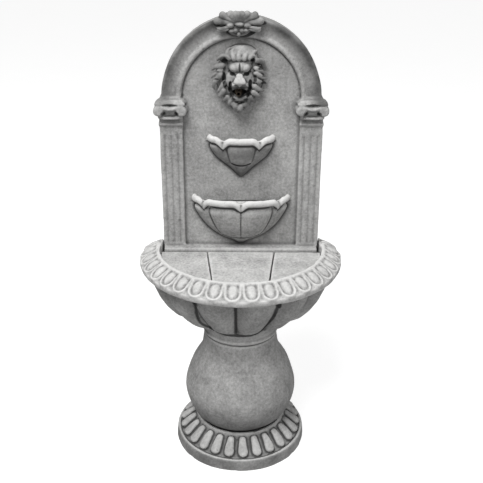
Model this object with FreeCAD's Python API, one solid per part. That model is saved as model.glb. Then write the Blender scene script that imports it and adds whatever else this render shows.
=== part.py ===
import FreeCAD, Part
import math
import os

# Garden wall fountain of cast stone, standing on its own pedestal against a wall.
# Water leaves the lion's mouth, fills the upper bowl, spills to the middle bowl and
# runs between the cover plates into the basin, where the pump sits.
# Millimetres. +Z is up, the origin is the middle of the plinth's underside,
# the front faces -Y and the wall is at +Y.

# Stand
wall_y = 220.0                  # plane of the wall behind the fountain
seat_gap = 0.3                  # gap round a piece that sits in or on another
stone_fit = 2.0                 # loose gap of a stone spigot in its socket

# Plinth
plinth_r = 210.0
plinth_batter = 4.0             # how much the rim leans in
plinth_rim_h = 39.0
petal_count = 26
petal_turn = 3.0                # degrees from the front to the nearest petal
petal_outer_r = 197.0
petal_inner_r = 147.0
petal_depth = 9.0               # valley between two petals, at the outer end
petal_edge_h = 7.0              # upright edge of the petals
seat_z = 90.0                   # flat that the globe stands on
seat_bead_r = 5.5
spigot_r = 62.0
spigot_h = 12.0
core_r = 42.0                   # hollow core of plinth and globe, for the cable
cable_slot_w = 28.0
cable_slot_h = 22.0

# Globe
globe_r = 177.0
globe_foot_r = 124.0
globe_neck_r = 113.0
globe_top_z = 398.0
globe_profile = ((0.89, 128.0), (1.0, 200.0), (0.88, 280.0), (0.70, 338.0))   # radius share, height

# Basin
basin_foot_r = 115.0
basin_foot_step = 4.0
basin_foot_h = 10.0
bowl_base_z = 436.0             # where the gadroons start
bowl_top_z = 578.0              # where they end, under the rim
bowl_base_r = 119.0
bowl_centre_y = 115.0           # middle of the half round at the top
lobe_pitch = 30.0               # degrees of one gadroon
lobe_turn = -4.0                # degrees from the front to the nearest seam
lobe_depth = 29.0
lobe_pinch = 0.25               # how far the seams draw together at the foot
lobe_start = 0.14               # share of the height over which the lobes set in
side_swell = 6.0                # least bulge of the plain sides
side_back_in = 35.0             # how far the sides have drawn in at the wall
rim_r = 320.0
rim_overhang = 30.0
bowl_top_r = rim_r - rim_overhang
rim_side_r = 158.0              # arc that turns the rim in towards the wall
rim_lip_z = 580.0
rim_edge_z = 588.0
rim_shoulder_z = 597.0
rim_slope_w = 48.0              # sloped band that carries the eggs
rim_crest_r = rim_r - rim_slope_w
rim_crest_z = 624.0
rim_bead_w = 15.0
rim_bead_r = rim_crest_r - rim_bead_w
rim_top_z = 632.0
egg_pitch = 10.5
egg_turn = -4.4                 # degrees from the front to the nearest egg
egg_count_side = 10             # eggs to the right of the first one, and one less to the left
egg_length = 46.0
egg_width = 30.0
egg_height = 9.0
reservoir_floor_z = 472.0
reservoir_floor_r = 188.0
reservoir_top_r = rim_bead_r - 27.0   # leaves the ledge that the cover plates lie on
reservoir_back_y = 92.0
shelf_z = 584.0                 # carries the panel and the cover plates
slot_w = 25.0                   # slot in the back of the reservoir, for the hose
slot_back_y = 206.0
slot_floor_z = 492.0

# Drain stopper
drain_y = -22.0
drain_r = 14.0
stopper_top_r = 17.0
stopper_h = 22.0
stopper_grip_r = 8.0
stopper_grip_h = 9.0
cable_hole_r = 3.5

# Cover plates
plate_t = 25.0
plate_gap = 3.5
plate_rear_half = 107.0         # seams at the rear edge
plate_front_half = 80.0         # seams at the front edge
plate_front_y = -140.0

# Back panel
panel_half = 248.0
field_y = 160.0                 # face of the sunk field
foot_half = 245.0
foot_front_y = 120.0
foot_top_z = 618.5
foot_slot = 5.0                 # side gap between the foot and the rim
pilaster_x = 213.0
pilaster_w = 70.0
relief = 12.0                   # how far pilasters and arch stand off the field
flute_r = 4.0
flute_pitch = 20.0
flute_top_z = 980.0
flute_foot_gap = 8.0
arch_z = 1096.0                 # springing line, top of the capitals
arch_r = 240.0
arch_band_w = 60.0
arch_edge_w = 7.0               # flat at the outer edge
arch_edge_out = 14.0            # how far the edge stands off the field
arch_bead_out = 12.0            # the bead
arch_cove_out = 7.0             # and the bottom of the cove between edge and bead
arch_bead_w = 16.0
arch_groove_w = 6.0
arch_groove_d = 4.0
abacus_z = 1082.0
abacus_half = 46.0
abacus_face_y = 120.0
abacus_top_in = 9.0
abacus_edge_h = 4.0
scroll_r = 15.0
scroll_spread = 35.0
scroll_z = 1064.0
scroll_face_y = 122.0
echinus_z = 1038.0
echinus_half = 36.0
astragal_z = 1019.0
astragal_r = 6.0

# Spout and the channel behind it
water_x = -8.0                  # mask, spout and hose stand this far left of the middle
spout_z = 1122.0
pipe_r = 7.0
pipe_bore_r = 5.0
pipe_front_y = 100.0
pipe_end_y = 200.0
collar_r = 11.0
collar_t = 3.0
bore_gap = 0.5                  # round the pipe in mask and panel
pocket_half = 26.0
pocket_y = 180.0
pocket_drop = 52.0
pocket_rise = 24.0
channel_half = 12.0
channel_y = 182.0
nut_flat = 22.0
nut_t = 5.0
washer_t = 2.0
elbow_y = 195.0
elbow_r = 9.5
elbow_neck_r = 7.5
elbow_drop = 16.0
barb_r = 5.95
barb_len = 22.0
barb_bore_r = 4.0

# Hose
hose_r = 8.0
hose_bore_r = 6.0
hose_bend_r = 60.0
hose_start_y = 95.0
clamp_w = 8.0
clamp_t = 1.0
clamp_gap = 0.3
clamp_inset = 5.0
screw_half = 5.0                # half size of the clamp's screw block

# Lion mask
mask_z = 1153.0
mask_half_w = 87.0
mask_half_h = 99.0
mask_d = 34.0
face_half_w = 50.0
face_half_h = 60.0
face_rise = 8.0
face_d = 54.0
muzzle_half_w = 30.0
muzzle_half_h = 21.0
muzzle_d = 68.0
muzzle_rise = -9.0
brow_r = 15.0
brow_x = 20.0
brow_rise = 36.0
ear_r = 17.0
ear_x = 53.0
ear_rise = 58.0
chin_r = 25.0
chin_drop = 58.0
mouth_half_w = 19.0
mouth_half_h = 13.0
mouth_floor_y = 128.0
lock_count = 18
lock_r = 16.0

# Shell crest
crest_z = 1310.0                # point that the ribs fan out from
crest_back_y = 146.0
crest_t = 24.0
crest_half_w = 69.0
crest_rise = 43.0
crest_ribs = 9
crest_fan = 170.0               # degrees that the ribs span
rib_root_r = 5.0
rib_end_r = 9.0
leaf_r = 15.0
leaf_x = 46.0
leaf_drop = 7.0                 # leaves below the fan's point
drop_r = 9.0
crest_hub_r = 20.0
crown_pad_half = 48.0
crown_pad_h = 38.0

# Bowls on the panel: half width, reach, height of the lip and of the lowest point
bowl_wall = 14.0
bowl_back = 16.0
bowl_back_drop = 25.0           # the back stops this far below the lip
upper_half = 105.0
upper_reach = 60.0
upper_lip_z = 985.0
upper_tip_z = 848.0
upper_notches = (-38.0, 38.0)   # degrees from straight ahead
middle_half = 156.0
middle_reach = 78.0
middle_lip_z = 791.0
middle_tip_z = 622.0
middle_notches = (-57.0, 0.0, 57.0)
notch_in = 0.93                 # notch radius as a share of the lobe's ends
notch_drop = 20.0
lip_h = 22.0

# Studs, pins and inserts
stud_r = 4.0
stud_hole_r = 5.5
stud_bed = 11.0
sink_r = 14.5
sink_d = 16.0
washer_r = 12.0
stud_nut_flat = 13.0
stud_nut_t = 6.5
stud_tail = 2.5
upper_stud_x = 45.0
upper_stud_z = 940.0
middle_stud_x = 85.0
middle_stud_z = 735.0
pin_r = 4.0
pin_gap = 0.05
pin_half_len = 18.0
crest_pin_x = 26.0
crest_pin_z = 1312.0
mask_pin_x = 45.0
mask_pin_z = 1180.0
dowel_r = 6.0
dowel_half_len = 22.0
dowel_x = 190.0
dowel_y = 190.0
insert_r = 7.0
insert_bore_r = 3.4
insert_len = 32.0
insert_thread_len = 25.0
insert_x = 150.0
insert_z = 1000.0

# Pump: the shaft runs along X, the strainer is at -X and the motor at +X
pump_y = 58.0
pump_z = 507.0
pump_half = 28.0
pump_body_x = 6.0
pump_body_len = 70.0
pump_edge_r = 6.0
foot_pad_r = 9.0
foot_pad_top_r = 5.0
foot_pad_h = 7.0
rotor_r = 8.5
rotor_len = 40.0
well_gap = 0.8
chamber_r = 20.0
chamber_len = 14.0
cover_len = 28.0
inlet_r = 8.0
disc_r = 17.0
disc_t = 2.5
vane_count = 6
vane_h = 8.0
vane_t = 1.5
shaft_r = 1.5
running_gap = 0.05
bush_r = 4.5
bush_len = 5.0
nipple_end_y = 114.0
strainer_len = 30.0
strainer_wall = 3.0
slot_count = 5
strainer_slot_w = 3.0
dial_r = 11.0
dial_t = 5.0
dial_pin_r = 2.5
grip_w = 3.0
grip_h = 4.0
gland_r = 7.0
gland_len = 14.0
gland_bore_r = 3.5


def point(x, y, z):
    return FreeCAD.Vector(x, y, z)


def save(name, shape):
    shape.exportStep(os.path.join("parts", name + ".step"))


def box(x0, x1, y0, y1, z0, z1):
    return Part.makeBox(x1 - x0, y1 - y0, z1 - z0, point(x0, y0, z0))


def rod(radius, start, end):
    run = end.sub(start)
    return Part.makeCylinder(radius, run.Length, start, run)


def tube(radius, bore, start, end):
    return rod(radius, start, end).cut(rod(bore, start, end))


def turned(profile, x=0.0, y=0.0):
    """Solid of revolution about the upright line at x, y, from (radius, height) corners."""
    corners = [point(x + r, y, z) for r, z in profile]
    face = Part.Face(Part.makePolygon(corners + corners[:1]))
    return face.revolve(point(x, y, 0), point(0, 0, 1), 360)


def oval(cx, cy, cz, half_x, half_y, half_z):
    """Ellipsoid with its three half sizes."""
    scale = FreeCAD.Matrix()
    scale.scale(half_x, half_y, half_z)
    ball = Part.makeSphere(1.0).transformGeometry(scale)
    ball.translate(point(cx, cy, cz))
    return ball


def polar(centre_y, radius, degrees, z):
    """Point at an angle from straight ahead, positive to +X."""
    turn = math.radians(degrees)
    return point(radius * math.sin(turn), centre_y - radius * math.cos(turn), z)


def arc(start, middle, end):
    return Part.Arc(start, middle, end).toShape()


def line(start, end):
    return Part.LineSegment(start, end).toShape()


def hexagon(flat, centre, height, along):
    """Hexagonal prism, flat to flat size, from centre along Y or X."""
    corner = flat / math.sqrt(3)
    ring = []
    for k in range(6):
        turn = math.radians(60 * k)
        a = corner * math.cos(turn)
        b = corner * math.sin(turn)
        ring.append(centre.add(point(a, 0, b) if along == "y" else point(0, a, b)))
    face = Part.Face(Part.makePolygon(ring + ring[:1]))
    return face.extrude(point(0, height, 0) if along == "y" else point(height, 0, 0))


# Plinth
def petal_ring(tip_r, valley_r, z):
    edges = []
    step = 360.0 / petal_count
    for k in range(petal_count):
        mid = petal_turn + k * step
        edges.append(arc(polar(0, valley_r, mid - step / 2, z), polar(0, tip_r, mid, z),
                         polar(0, valley_r, mid + step / 2, z)))
    return Part.Wire(edges)


def make_plinth():
    edge_z = plinth_rim_h + petal_edge_h
    rim = turned([(0, 0), (plinth_r, 0), (plinth_r - plinth_batter, plinth_rim_h), (0, plinth_rim_h)])
    petals = Part.makeLoft([petal_ring(petal_outer_r, petal_outer_r - petal_depth, plinth_rim_h),
                            petal_ring(petal_outer_r, petal_outer_r - petal_depth, edge_z),
                            petal_ring(petal_inner_r, petal_inner_r - petal_depth / 3, seat_z)], True, True)
    bead = Part.makeTorus(petal_inner_r - seat_bead_r - petal_depth / 3, seat_bead_r, point(0, 0, seat_z))
    spigot = rod(spigot_r, point(0, 0, seat_z), point(0, 0, seat_z + spigot_h))
    body = rim.fuse(petals).fuse(bead).fuse(spigot)
    body = body.cut(rod(core_r, point(0, 0, 0), point(0, 0, seat_z + spigot_h)))
    slot = box(-cable_slot_w / 2, cable_slot_w / 2, 0, plinth_r, 0, cable_slot_h)
    return body.cut(slot).removeSplitter()


# Globe
def make_globe():
    foot = point(globe_foot_r, 0, seat_z)
    neck = point(globe_neck_r, 0, globe_top_z)
    side = Part.BSplineCurve()
    side.interpolate([foot] + [point(share * globe_r, 0, z) for share, z in globe_profile] + [neck])
    bottom = point(core_r, 0, seat_z)
    top = point(core_r, 0, globe_top_z)
    outline = Part.Wire([line(bottom, foot), side.toShape(), line(neck, top), line(top, bottom)])
    body = Part.Face(outline).revolve(point(0, 0, 0), point(0, 0, 1), 360)
    socket = rod(spigot_r + stone_fit, point(0, 0, seat_z), point(0, 0, seat_z + spigot_h + stone_fit))
    spigot = tube(spigot_r, core_r, point(0, 0, globe_top_z), point(0, 0, globe_top_z + spigot_h))
    return body.cut(socket).fuse(spigot)


# Basin
def ease(share, sharp, root):
    """Rises fast from 0 and levels off at 1."""
    return (1 - (1 - share) ** sharp) ** (1 / root)


def bowl_section(share):
    """Outline of the gadrooned bowl: lobes round the front, plain towards the wall."""
    z = bowl_base_z + share * (bowl_top_z - bowl_base_z)
    tip = bowl_base_r + (bowl_top_r - bowl_base_r) * ease(share, 2, 3)
    centre = bowl_centre_y * ease(share, 4, 4)
    onset = math.sin(math.pi / 2 * min(share / lobe_start, 1))
    valley = tip - lobe_depth * onset
    spread = 1 - lobe_pinch * (1 - share) * onset
    corner = bowl_base_r / math.sqrt(2)
    back_x = corner + (bowl_top_r - side_back_in - corner) * ease(share, 2, 3)
    back_y = corner + (wall_y - corner) * ease(share, 6, 3)
    seams = [(lobe_turn + lobe_pitch * k) * spread for k in range(-3, 4)]
    edges = []
    for left, right in zip(seams, seams[1:]):
        edges.append(arc(polar(centre, valley, left, z), polar(centre, tip, (left + right) / 2, z),
                         polar(centre, valley, right, z)))
    first = polar(centre, valley, seams[0], z)
    last = polar(centre, valley, seams[-1], z)
    right_corner = point(back_x, back_y, z)
    left_corner = point(-back_x, back_y, z)
    swell = point(side_swell + (lobe_depth / 2 - side_swell) * onset, 0, 0)
    edges.append(arc(last, last.add(right_corner).multiply(0.5).add(swell), right_corner))
    edges.append(line(right_corner, left_corner))
    edges.append(arc(left_corner, first.add(left_corner).multiply(0.5).sub(swell), first))
    return Part.Wire(edges)


def rim_outline(radius, z):
    """Half round in front, two side arcs that turn in, straight along the wall."""
    reach = wall_y - bowl_centre_y
    end = math.asin(reach / rim_side_r)
    centre_x = radius - rim_side_r

    def side(angle, sign):
        x = centre_x + rim_side_r * math.cos(angle)
        y = bowl_centre_y + rim_side_r * math.sin(angle)
        return point(sign * x, y, z)

    front = [polar(bowl_centre_y, radius, a, z) for a in (-90, -45, 0, 45, 90)]
    return Part.Wire([arc(front[0], front[1], front[2]),
                      arc(front[2], front[3], front[4]),
                      arc(front[4], side(end / 2, 1), side(end, 1)),
                      line(side(end, 1), side(end, -1)),
                      arc(side(end, -1), side(end / 2, -1), front[0])])


def rim_spot(radius, degrees):
    """Place and outward direction on the rim, past the half round along the side arcs."""
    if abs(degrees) <= 90:
        spot = polar(bowl_centre_y, radius, degrees, 0)
        return spot, degrees
    sign = math.copysign(1, degrees)
    turn = math.radians(abs(degrees) - 90) * radius / rim_side_r
    x = radius - rim_side_r + rim_side_r * math.cos(turn)
    y = bowl_centre_y + rim_side_r * math.sin(turn)
    return point(sign * x, y, 0), sign * (90 + math.degrees(turn))


def make_egg(degrees):
    """One egg of the rim, lying on the slope."""
    rise = rim_crest_z - rim_shoulder_z
    run = rim_r - rim_crest_r
    slope = math.degrees(math.atan2(rise, run))
    spot, heading = rim_spot((rim_r + rim_crest_r) / 2, degrees)
    egg = oval(0, 0, 0, egg_width / 2, egg_length / 2, egg_height)
    egg.rotate(point(0, 0, 0), point(1, 0, 0), slope)
    egg.rotate(point(0, 0, 0), point(0, 0, 1), heading)
    egg.translate(spot.add(point(0, 0, (rim_crest_z + rim_shoulder_z) / 2)))
    return egg


def make_basin():
    shares = (0, lobe_start / 2, lobe_start, 0.27, 0.45, 0.7, 1)
    bowl = Part.makeLoft([bowl_section(s) for s in shares], True, True)
    levels = [(bowl_top_r, bowl_top_z), (rim_r - 2, rim_lip_z), (rim_r, rim_edge_z),
              (rim_r, rim_shoulder_z), (rim_crest_r, rim_crest_z), (rim_crest_r - 4, rim_top_z)]
    rim = Part.makeLoft([rim_outline(r, z) for r, z in levels], True, True)
    step_z = globe_top_z + basin_foot_h
    foot = turned([(0, globe_top_z), (basin_foot_r, globe_top_z), (basin_foot_r + basin_foot_step, step_z),
                   (basin_foot_r - 1, step_z + 2), (bowl_base_r, bowl_base_z), (0, bowl_base_z)])
    body = foot.fuse(bowl).fuse(rim)
    for k in range(1 - egg_count_side, egg_count_side + 1):
        body = body.fuse(make_egg(egg_turn + k * egg_pitch))
    cavity = Part.makeCone(reservoir_floor_r, reservoir_top_r, shelf_z - reservoir_floor_z,
                           point(0, bowl_centre_y, reservoir_floor_z))
    front = box(-rim_r, rim_r, -rim_r, reservoir_back_y, reservoir_floor_z, shelf_z)
    clear_z = rim_top_z + egg_height
    tray = rod(rim_bead_r, point(0, bowl_centre_y, shelf_z), point(0, bowl_centre_y, clear_z))
    tray = tray.common(box(-rim_r, rim_r, -rim_r, foot_front_y, shelf_z, clear_z))
    seat_half = panel_half + foot_slot
    seat = box(-seat_half, seat_half, foot_front_y - plate_gap, wall_y, shelf_z, clear_z)
    slot = box(water_x - slot_w / 2, water_x + slot_w / 2, reservoir_back_y - 5, slot_back_y,
               slot_floor_z, shelf_z)
    behind = box(-rim_r, rim_r, wall_y, wall_y + 60, 0, rim_top_z + 60)
    body = body.cut(cavity.common(front)).cut(tray).cut(seat).cut(slot).cut(behind)
    socket_top = globe_top_z + spigot_h + stone_fit
    socket = rod(spigot_r + stone_fit, point(0, 0, globe_top_z), point(0, 0, socket_top))
    drain = rod(drain_r - 1, point(0, drain_y, globe_top_z), point(0, drain_y, reservoir_floor_z))
    body = body.cut(socket).cut(drain).cut(make_stopper_body(seat_gap))
    for side in (-1, 1):
        body = body.cut(dowel_hole(side, -1))
    return body


def make_stopper_body(gap):
    """Tapered plug, level with the reservoir's floor."""
    return Part.makeCone(drain_r + gap, stopper_top_r + gap, stopper_h,
                         point(0, drain_y, reservoir_floor_z - stopper_h))


def make_stopper():
    top = point(0, drain_y, reservoir_floor_z)
    grip_top = point(0, drain_y, reservoir_floor_z + stopper_grip_h)
    foot = point(0, drain_y, reservoir_floor_z - stopper_h)
    body = make_stopper_body(0).fuse(rod(stopper_grip_r, top, grip_top))
    return body.cut(rod(cable_hole_r, foot, grip_top))


# Cover plates
def seam_x(y):
    """Distance of the plate seams from the middle, at depth y."""
    rear_y = foot_front_y - plate_gap
    share = (rear_y - y) / (rear_y - plate_front_y)
    return plate_rear_half + (plate_front_half - plate_rear_half) * share


def make_plates():
    radius = rim_bead_r - plate_gap
    rear_y = foot_front_y - plate_gap
    disc = rod(radius, point(0, bowl_centre_y, shelf_z), point(0, bowl_centre_y, shelf_z + plate_t))
    disc = disc.common(box(-rim_r, rim_r, -rim_r, rear_y - seat_gap, shelf_z, shelf_z + plate_t))
    far_y = bowl_centre_y - rim_r
    half = plate_gap / 2

    def wedge(inset):
        rear = seam_x(rear_y) - inset
        far = seam_x(far_y) - inset
        corners = [point(-rear, rear_y, shelf_z), point(rear, rear_y, shelf_z),
                   point(far, far_y, shelf_z), point(-far, far_y, shelf_z)]
        face = Part.Face(Part.makePolygon(corners + corners[:1]))
        return face.extrude(point(0, 0, plate_t))

    outer = disc.cut(wedge(-half))
    left = outer.common(box(-rim_r, 0, -rim_r, rear_y, shelf_z, shelf_z + plate_t))
    right = outer.common(box(0, rim_r, -rim_r, rear_y, shelf_z, shelf_z + plate_t))
    return left, disc.common(wedge(half)), right


# Back panel
def half_turn(edges):
    """Sweeps an outline, drawn at the springing line, over the arch."""
    return Part.Face(Part.Wire(edges)).revolve(point(0, 0, arch_z), point(0, -1, 0), 180)


def make_arch():
    """Moulding of the arch: a flat edge, a wide cove and a half-round bead."""
    inner = arch_r - arch_band_w
    top_y = field_y - arch_edge_out
    cove_y = field_y - arch_cove_out
    bead_end = inner + arch_bead_w
    edge_start = arch_r - arch_edge_w
    corners = [point(inner, field_y, arch_z), point(bead_end, cove_y, arch_z),
               point(edge_start, top_y, arch_z), point(arch_r, top_y, arch_z),
               point(arch_r, field_y, arch_z)]
    bead_top = point((inner + bead_end) / 2, field_y - arch_bead_out, arch_z)
    cove_low = point((bead_end + edge_start) / 2, cove_y, arch_z)
    flats = [line(a, b) for a, b in zip(corners[2:], corners[3:] + corners[:1])]
    return half_turn([arc(corners[0], bead_top, corners[1]), arc(corners[1], cove_low, corners[2])] + flats)


def make_groove():
    """Sunk line between the moulding and the field."""
    inner = arch_r - arch_band_w
    low_y = field_y + arch_groove_d
    corners = [point(inner - arch_groove_w, field_y, arch_z), point(inner, field_y, arch_z),
               point(inner, low_y, arch_z), point(inner - arch_groove_w, low_y, arch_z)]
    return half_turn([line(a, b) for a, b in zip(corners, corners[1:] + corners[:1])])


def make_slab():
    corners = [point(-arch_r, field_y, arch_z), point(-panel_half, field_y, arch_z),
               point(-panel_half, field_y, shelf_z), point(panel_half, field_y, shelf_z),
               point(panel_half, field_y, arch_z), point(arch_r, field_y, arch_z)]
    edges = [line(a, b) for a, b in zip(corners, corners[1:])]
    edges.append(arc(corners[-1], point(0, field_y, arch_z + arch_r), corners[0]))
    return Part.Face(Part.Wire(edges)).extrude(point(0, wall_y - field_y, 0))


def make_pilaster(side):
    x0 = side * pilaster_x - pilaster_w / 2
    x1 = side * pilaster_x + pilaster_w / 2
    face_y = field_y - relief
    body = box(x0, x1, face_y, field_y, foot_top_z, abacus_z)
    for k in (-1, 0, 1):
        x = side * pilaster_x + k * flute_pitch
        low = point(x, face_y, foot_top_z + flute_foot_gap)
        high = point(x, face_y, flute_top_z)
        body = body.cut(rod(flute_r, low, high)).cut(Part.makeSphere(flute_r, high))
    return body


def abacus_face(half, front, z):
    corners = [point(-half, front, z), point(half, front, z),
               point(half, field_y, z), point(-half, field_y, z)]
    return Part.makePolygon(corners + corners[:1])


def make_capital(side):
    front = abacus_face_y
    slab = Part.makeLoft([abacus_face(abacus_half, front, abacus_z),
                          abacus_face(abacus_half, front, abacus_z + abacus_edge_h),
                          abacus_face(abacus_half - abacus_top_in, front + abacus_top_in, arch_z)],
                         True, True)
    cushion = box(-scroll_spread, scroll_spread, scroll_face_y + 4, field_y, scroll_z, abacus_z)
    bell = Part.makeLoft([abacus_face(echinus_half - 4, field_y - relief - 6, echinus_z),
                          abacus_face(echinus_half, scroll_face_y + 8, scroll_z)], True, True)
    body = slab.fuse(cushion).fuse(bell)
    for k in (-1, 1):
        x = k * scroll_spread
        body = body.fuse(rod(scroll_r, point(x, scroll_face_y, scroll_z), point(x, field_y, scroll_z)))
        body = body.cut(tube(scroll_r * 0.62, scroll_r * 0.4, point(x, scroll_face_y, scroll_z),
                             point(x, scroll_face_y + 2, scroll_z)))
    half = pilaster_w / 2 + 2
    bead_y = field_y - relief
    body = body.fuse(rod(astragal_r, point(-half, bead_y, astragal_z), point(half, bead_y, astragal_z)))
    body.translate(point(side * pilaster_x, 0, 0))
    return body


def stud_spots():
    return [(-upper_stud_x, upper_stud_z), (upper_stud_x, upper_stud_z),
            (-middle_stud_x, middle_stud_z), (middle_stud_x, middle_stud_z)]


def pin_spots():
    """Middle of each ornament pin, on the face that its ornament lies against."""
    spots = []
    for side in (-1, 1):
        spots.append(point(water_x + side * crest_pin_x, crest_back_y, crest_pin_z))
        spots.append(point(water_x + side * mask_pin_x, field_y, mask_pin_z))
    return spots


def pin_rod(spot, gap):
    half = pin_half_len + gap
    return rod(pin_r + gap, spot.sub(point(0, half, 0)), spot.add(point(0, half, 0)))


def dowel_hole(side, direction):
    start = point(side * dowel_x, dowel_y, shelf_z)
    return rod(dowel_r + pin_gap, start, start.add(point(0, 0, direction * (dowel_half_len + pin_gap))))


def make_panel():
    face_y = field_y - relief
    body = make_slab()
    foot = box(-foot_half, foot_half, foot_front_y, field_y, shelf_z, foot_top_z)
    body = body.fuse(foot).fuse(make_arch())
    for side in (-1, 1):
        body = body.fuse(make_pilaster(side)).fuse(make_capital(side))
    body = body.cut(make_groove())
    body = body.fuse(make_crown_pad())
    hose = box(water_x - channel_half, water_x + channel_half, channel_y, wall_y, shelf_z, spout_z)
    pocket = box(water_x - pocket_half, water_x + pocket_half, pocket_y, wall_y,
                 spout_z - pocket_drop, spout_z + pocket_rise)
    bore = rod(pipe_r + bore_gap, point(water_x, face_y, spout_z), point(water_x, wall_y, spout_z))
    body = body.cut(hose).cut(pocket).cut(bore)
    for x, z in stud_spots():
        body = body.cut(rod(stud_hole_r, point(x, field_y, z), point(x, wall_y, z)))
        body = body.cut(rod(sink_r, point(x, wall_y - sink_d, z), point(x, wall_y, z)))
    for spot in pin_spots():
        body = body.cut(pin_rod(spot, pin_gap))
    for side in (-1, 1):
        body = body.cut(dowel_hole(side, 1))
        insert_floor = point(side * insert_x, wall_y - insert_len - pin_gap, insert_z)
        body = body.cut(rod(insert_r + pin_gap, insert_floor, point(side * insert_x, wall_y, insert_z)))
    return body


def make_crown_pad():
    """Flat pad on the crown of the arch, behind the crest."""
    top = arch_z + arch_r
    pad = box(water_x - crown_pad_half, water_x + crown_pad_half, crest_back_y, field_y,
              top - crown_pad_h, top)
    return pad.common(rod(arch_r, point(0, crest_back_y, arch_z), point(0, wall_y, arch_z)))


# Shell crest
def make_crest():
    hub = point(water_x, crest_back_y, crest_z)
    span = crest_fan / (crest_ribs - 1)
    front_y = crest_back_y - crest_t
    rib_y = front_y + rib_end_r
    body = rod(crest_hub_r, point(water_x, front_y, crest_z), hub)
    ends = []
    for k in range(crest_ribs):
        turn = math.radians(90 - crest_fan / 2 + k * span)
        edge = 1 / math.hypot(math.cos(turn) / crest_half_w, math.sin(turn) / crest_rise)
        way = point(math.cos(turn), 0, math.sin(turn))
        root = point(water_x, rib_y, crest_z)
        end = root.add(way * (edge - rib_end_r))
        rib = Part.makeCone(rib_root_r, rib_end_r, edge - rib_end_r, root, way)
        body = body.fuse(rib).fuse(Part.makeSphere(rib_end_r, end))
        body = body.fuse(rod(rib_end_r, end, point(end.x, crest_back_y, end.z)))
        ends.append(end)
    backing = Part.Face(Part.makePolygon(ends + ends[:1])).extrude(point(0, crest_back_y - rib_y, 0))
    body = body.fuse(backing)
    for side in (-1, 1):
        body = body.fuse(oval(water_x + side * leaf_x, crest_back_y - leaf_r, crest_z - leaf_drop,
                              leaf_r * 1.4, leaf_r, leaf_r * 0.7))
    body = body.fuse(oval(water_x, crest_back_y - drop_r, crest_z - crest_hub_r, drop_r, drop_r, drop_r))
    body = body.common(box(-panel_half, panel_half, 0, crest_back_y, arch_z, crest_z + 2 * crest_rise))
    for spot in pin_spots():
        body = body.cut(pin_rod(spot, pin_gap))
    return body


# Lion mask
def make_mask():
    def lump(x, rise, depth_y, half_x, half_y, half_z):
        return oval(water_x + x, depth_y, mask_z + rise, half_x, half_y, half_z)

    body = lump(0, 0, field_y, mask_half_w - lock_r / 2, mask_d, mask_half_h - lock_r / 2)
    for k in range(lock_count):
        turn = math.radians(360.0 * k / lock_count)
        x = (mask_half_w - lock_r) * math.sin(turn)
        rise = (mask_half_h - lock_r) * math.cos(turn)
        body = body.fuse(lump(x, rise, field_y, lock_r, mask_d * 0.7, lock_r))
    body = body.fuse(lump(0, face_rise, field_y, face_half_w, face_d, face_half_h))
    body = body.fuse(lump(0, muzzle_rise, field_y, muzzle_half_w, muzzle_d, muzzle_half_h))
    body = body.fuse(lump(0, -chin_drop, field_y - mask_d, chin_r, chin_r * 0.7, chin_r * 0.8))
    for side in (-1, 1):
        body = body.fuse(lump(side * brow_x, brow_rise, field_y - face_d + brow_r, brow_r, brow_r, brow_r))
        body = body.fuse(lump(side * ear_x, ear_rise, field_y - mask_d / 2, ear_r, ear_r, ear_r * 0.8))
    front = box(-panel_half, panel_half, 0, field_y, mask_z - 2 * mask_half_h, mask_z + 2 * mask_half_h)
    body = body.common(front)
    mouth = oval(water_x, mouth_floor_y - muzzle_d, spout_z, mouth_half_w, muzzle_d, mouth_half_h)
    throat = rod(mouth_half_h, point(water_x, 0, spout_z), point(water_x, mouth_floor_y, spout_z))
    bore = rod(pipe_r + bore_gap, point(water_x, 0, spout_z), point(water_x, field_y, spout_z))
    body = body.cut(mouth).cut(throat).cut(bore)
    for spot in pin_spots():
        body = body.cut(pin_rod(spot, pin_gap))
    return body


# Bowls
def bowl_spot(half, reach, degrees, share, z):
    """Point of a half oval in front of the panel, at an angle from straight ahead."""
    turn = math.radians(degrees)
    return point(half * math.sin(turn) * share, field_y - reach * math.cos(turn) * share, z)


def bowl_ring(half, reach, notches, share, z):
    """Half outline of a lobed bowl against the panel, at a share of its full size."""
    ends = [-90.0] + list(notches) + [90.0]
    spots = [bowl_spot(half, reach, a, share * notch_in, z) for a in ends]
    spots[0] = bowl_spot(half, reach, -90, share, z)
    spots[-1] = bowl_spot(half, reach, 90, share, z)
    edges = []
    for k in range(len(ends) - 1):
        middle = bowl_spot(half, reach, (ends[k] + ends[k + 1]) / 2, share, z)
        edges.append(arc(spots[k], middle, spots[k + 1]))
    edges.append(line(spots[-1], spots[0]))
    return Part.Wire(edges)


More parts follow.
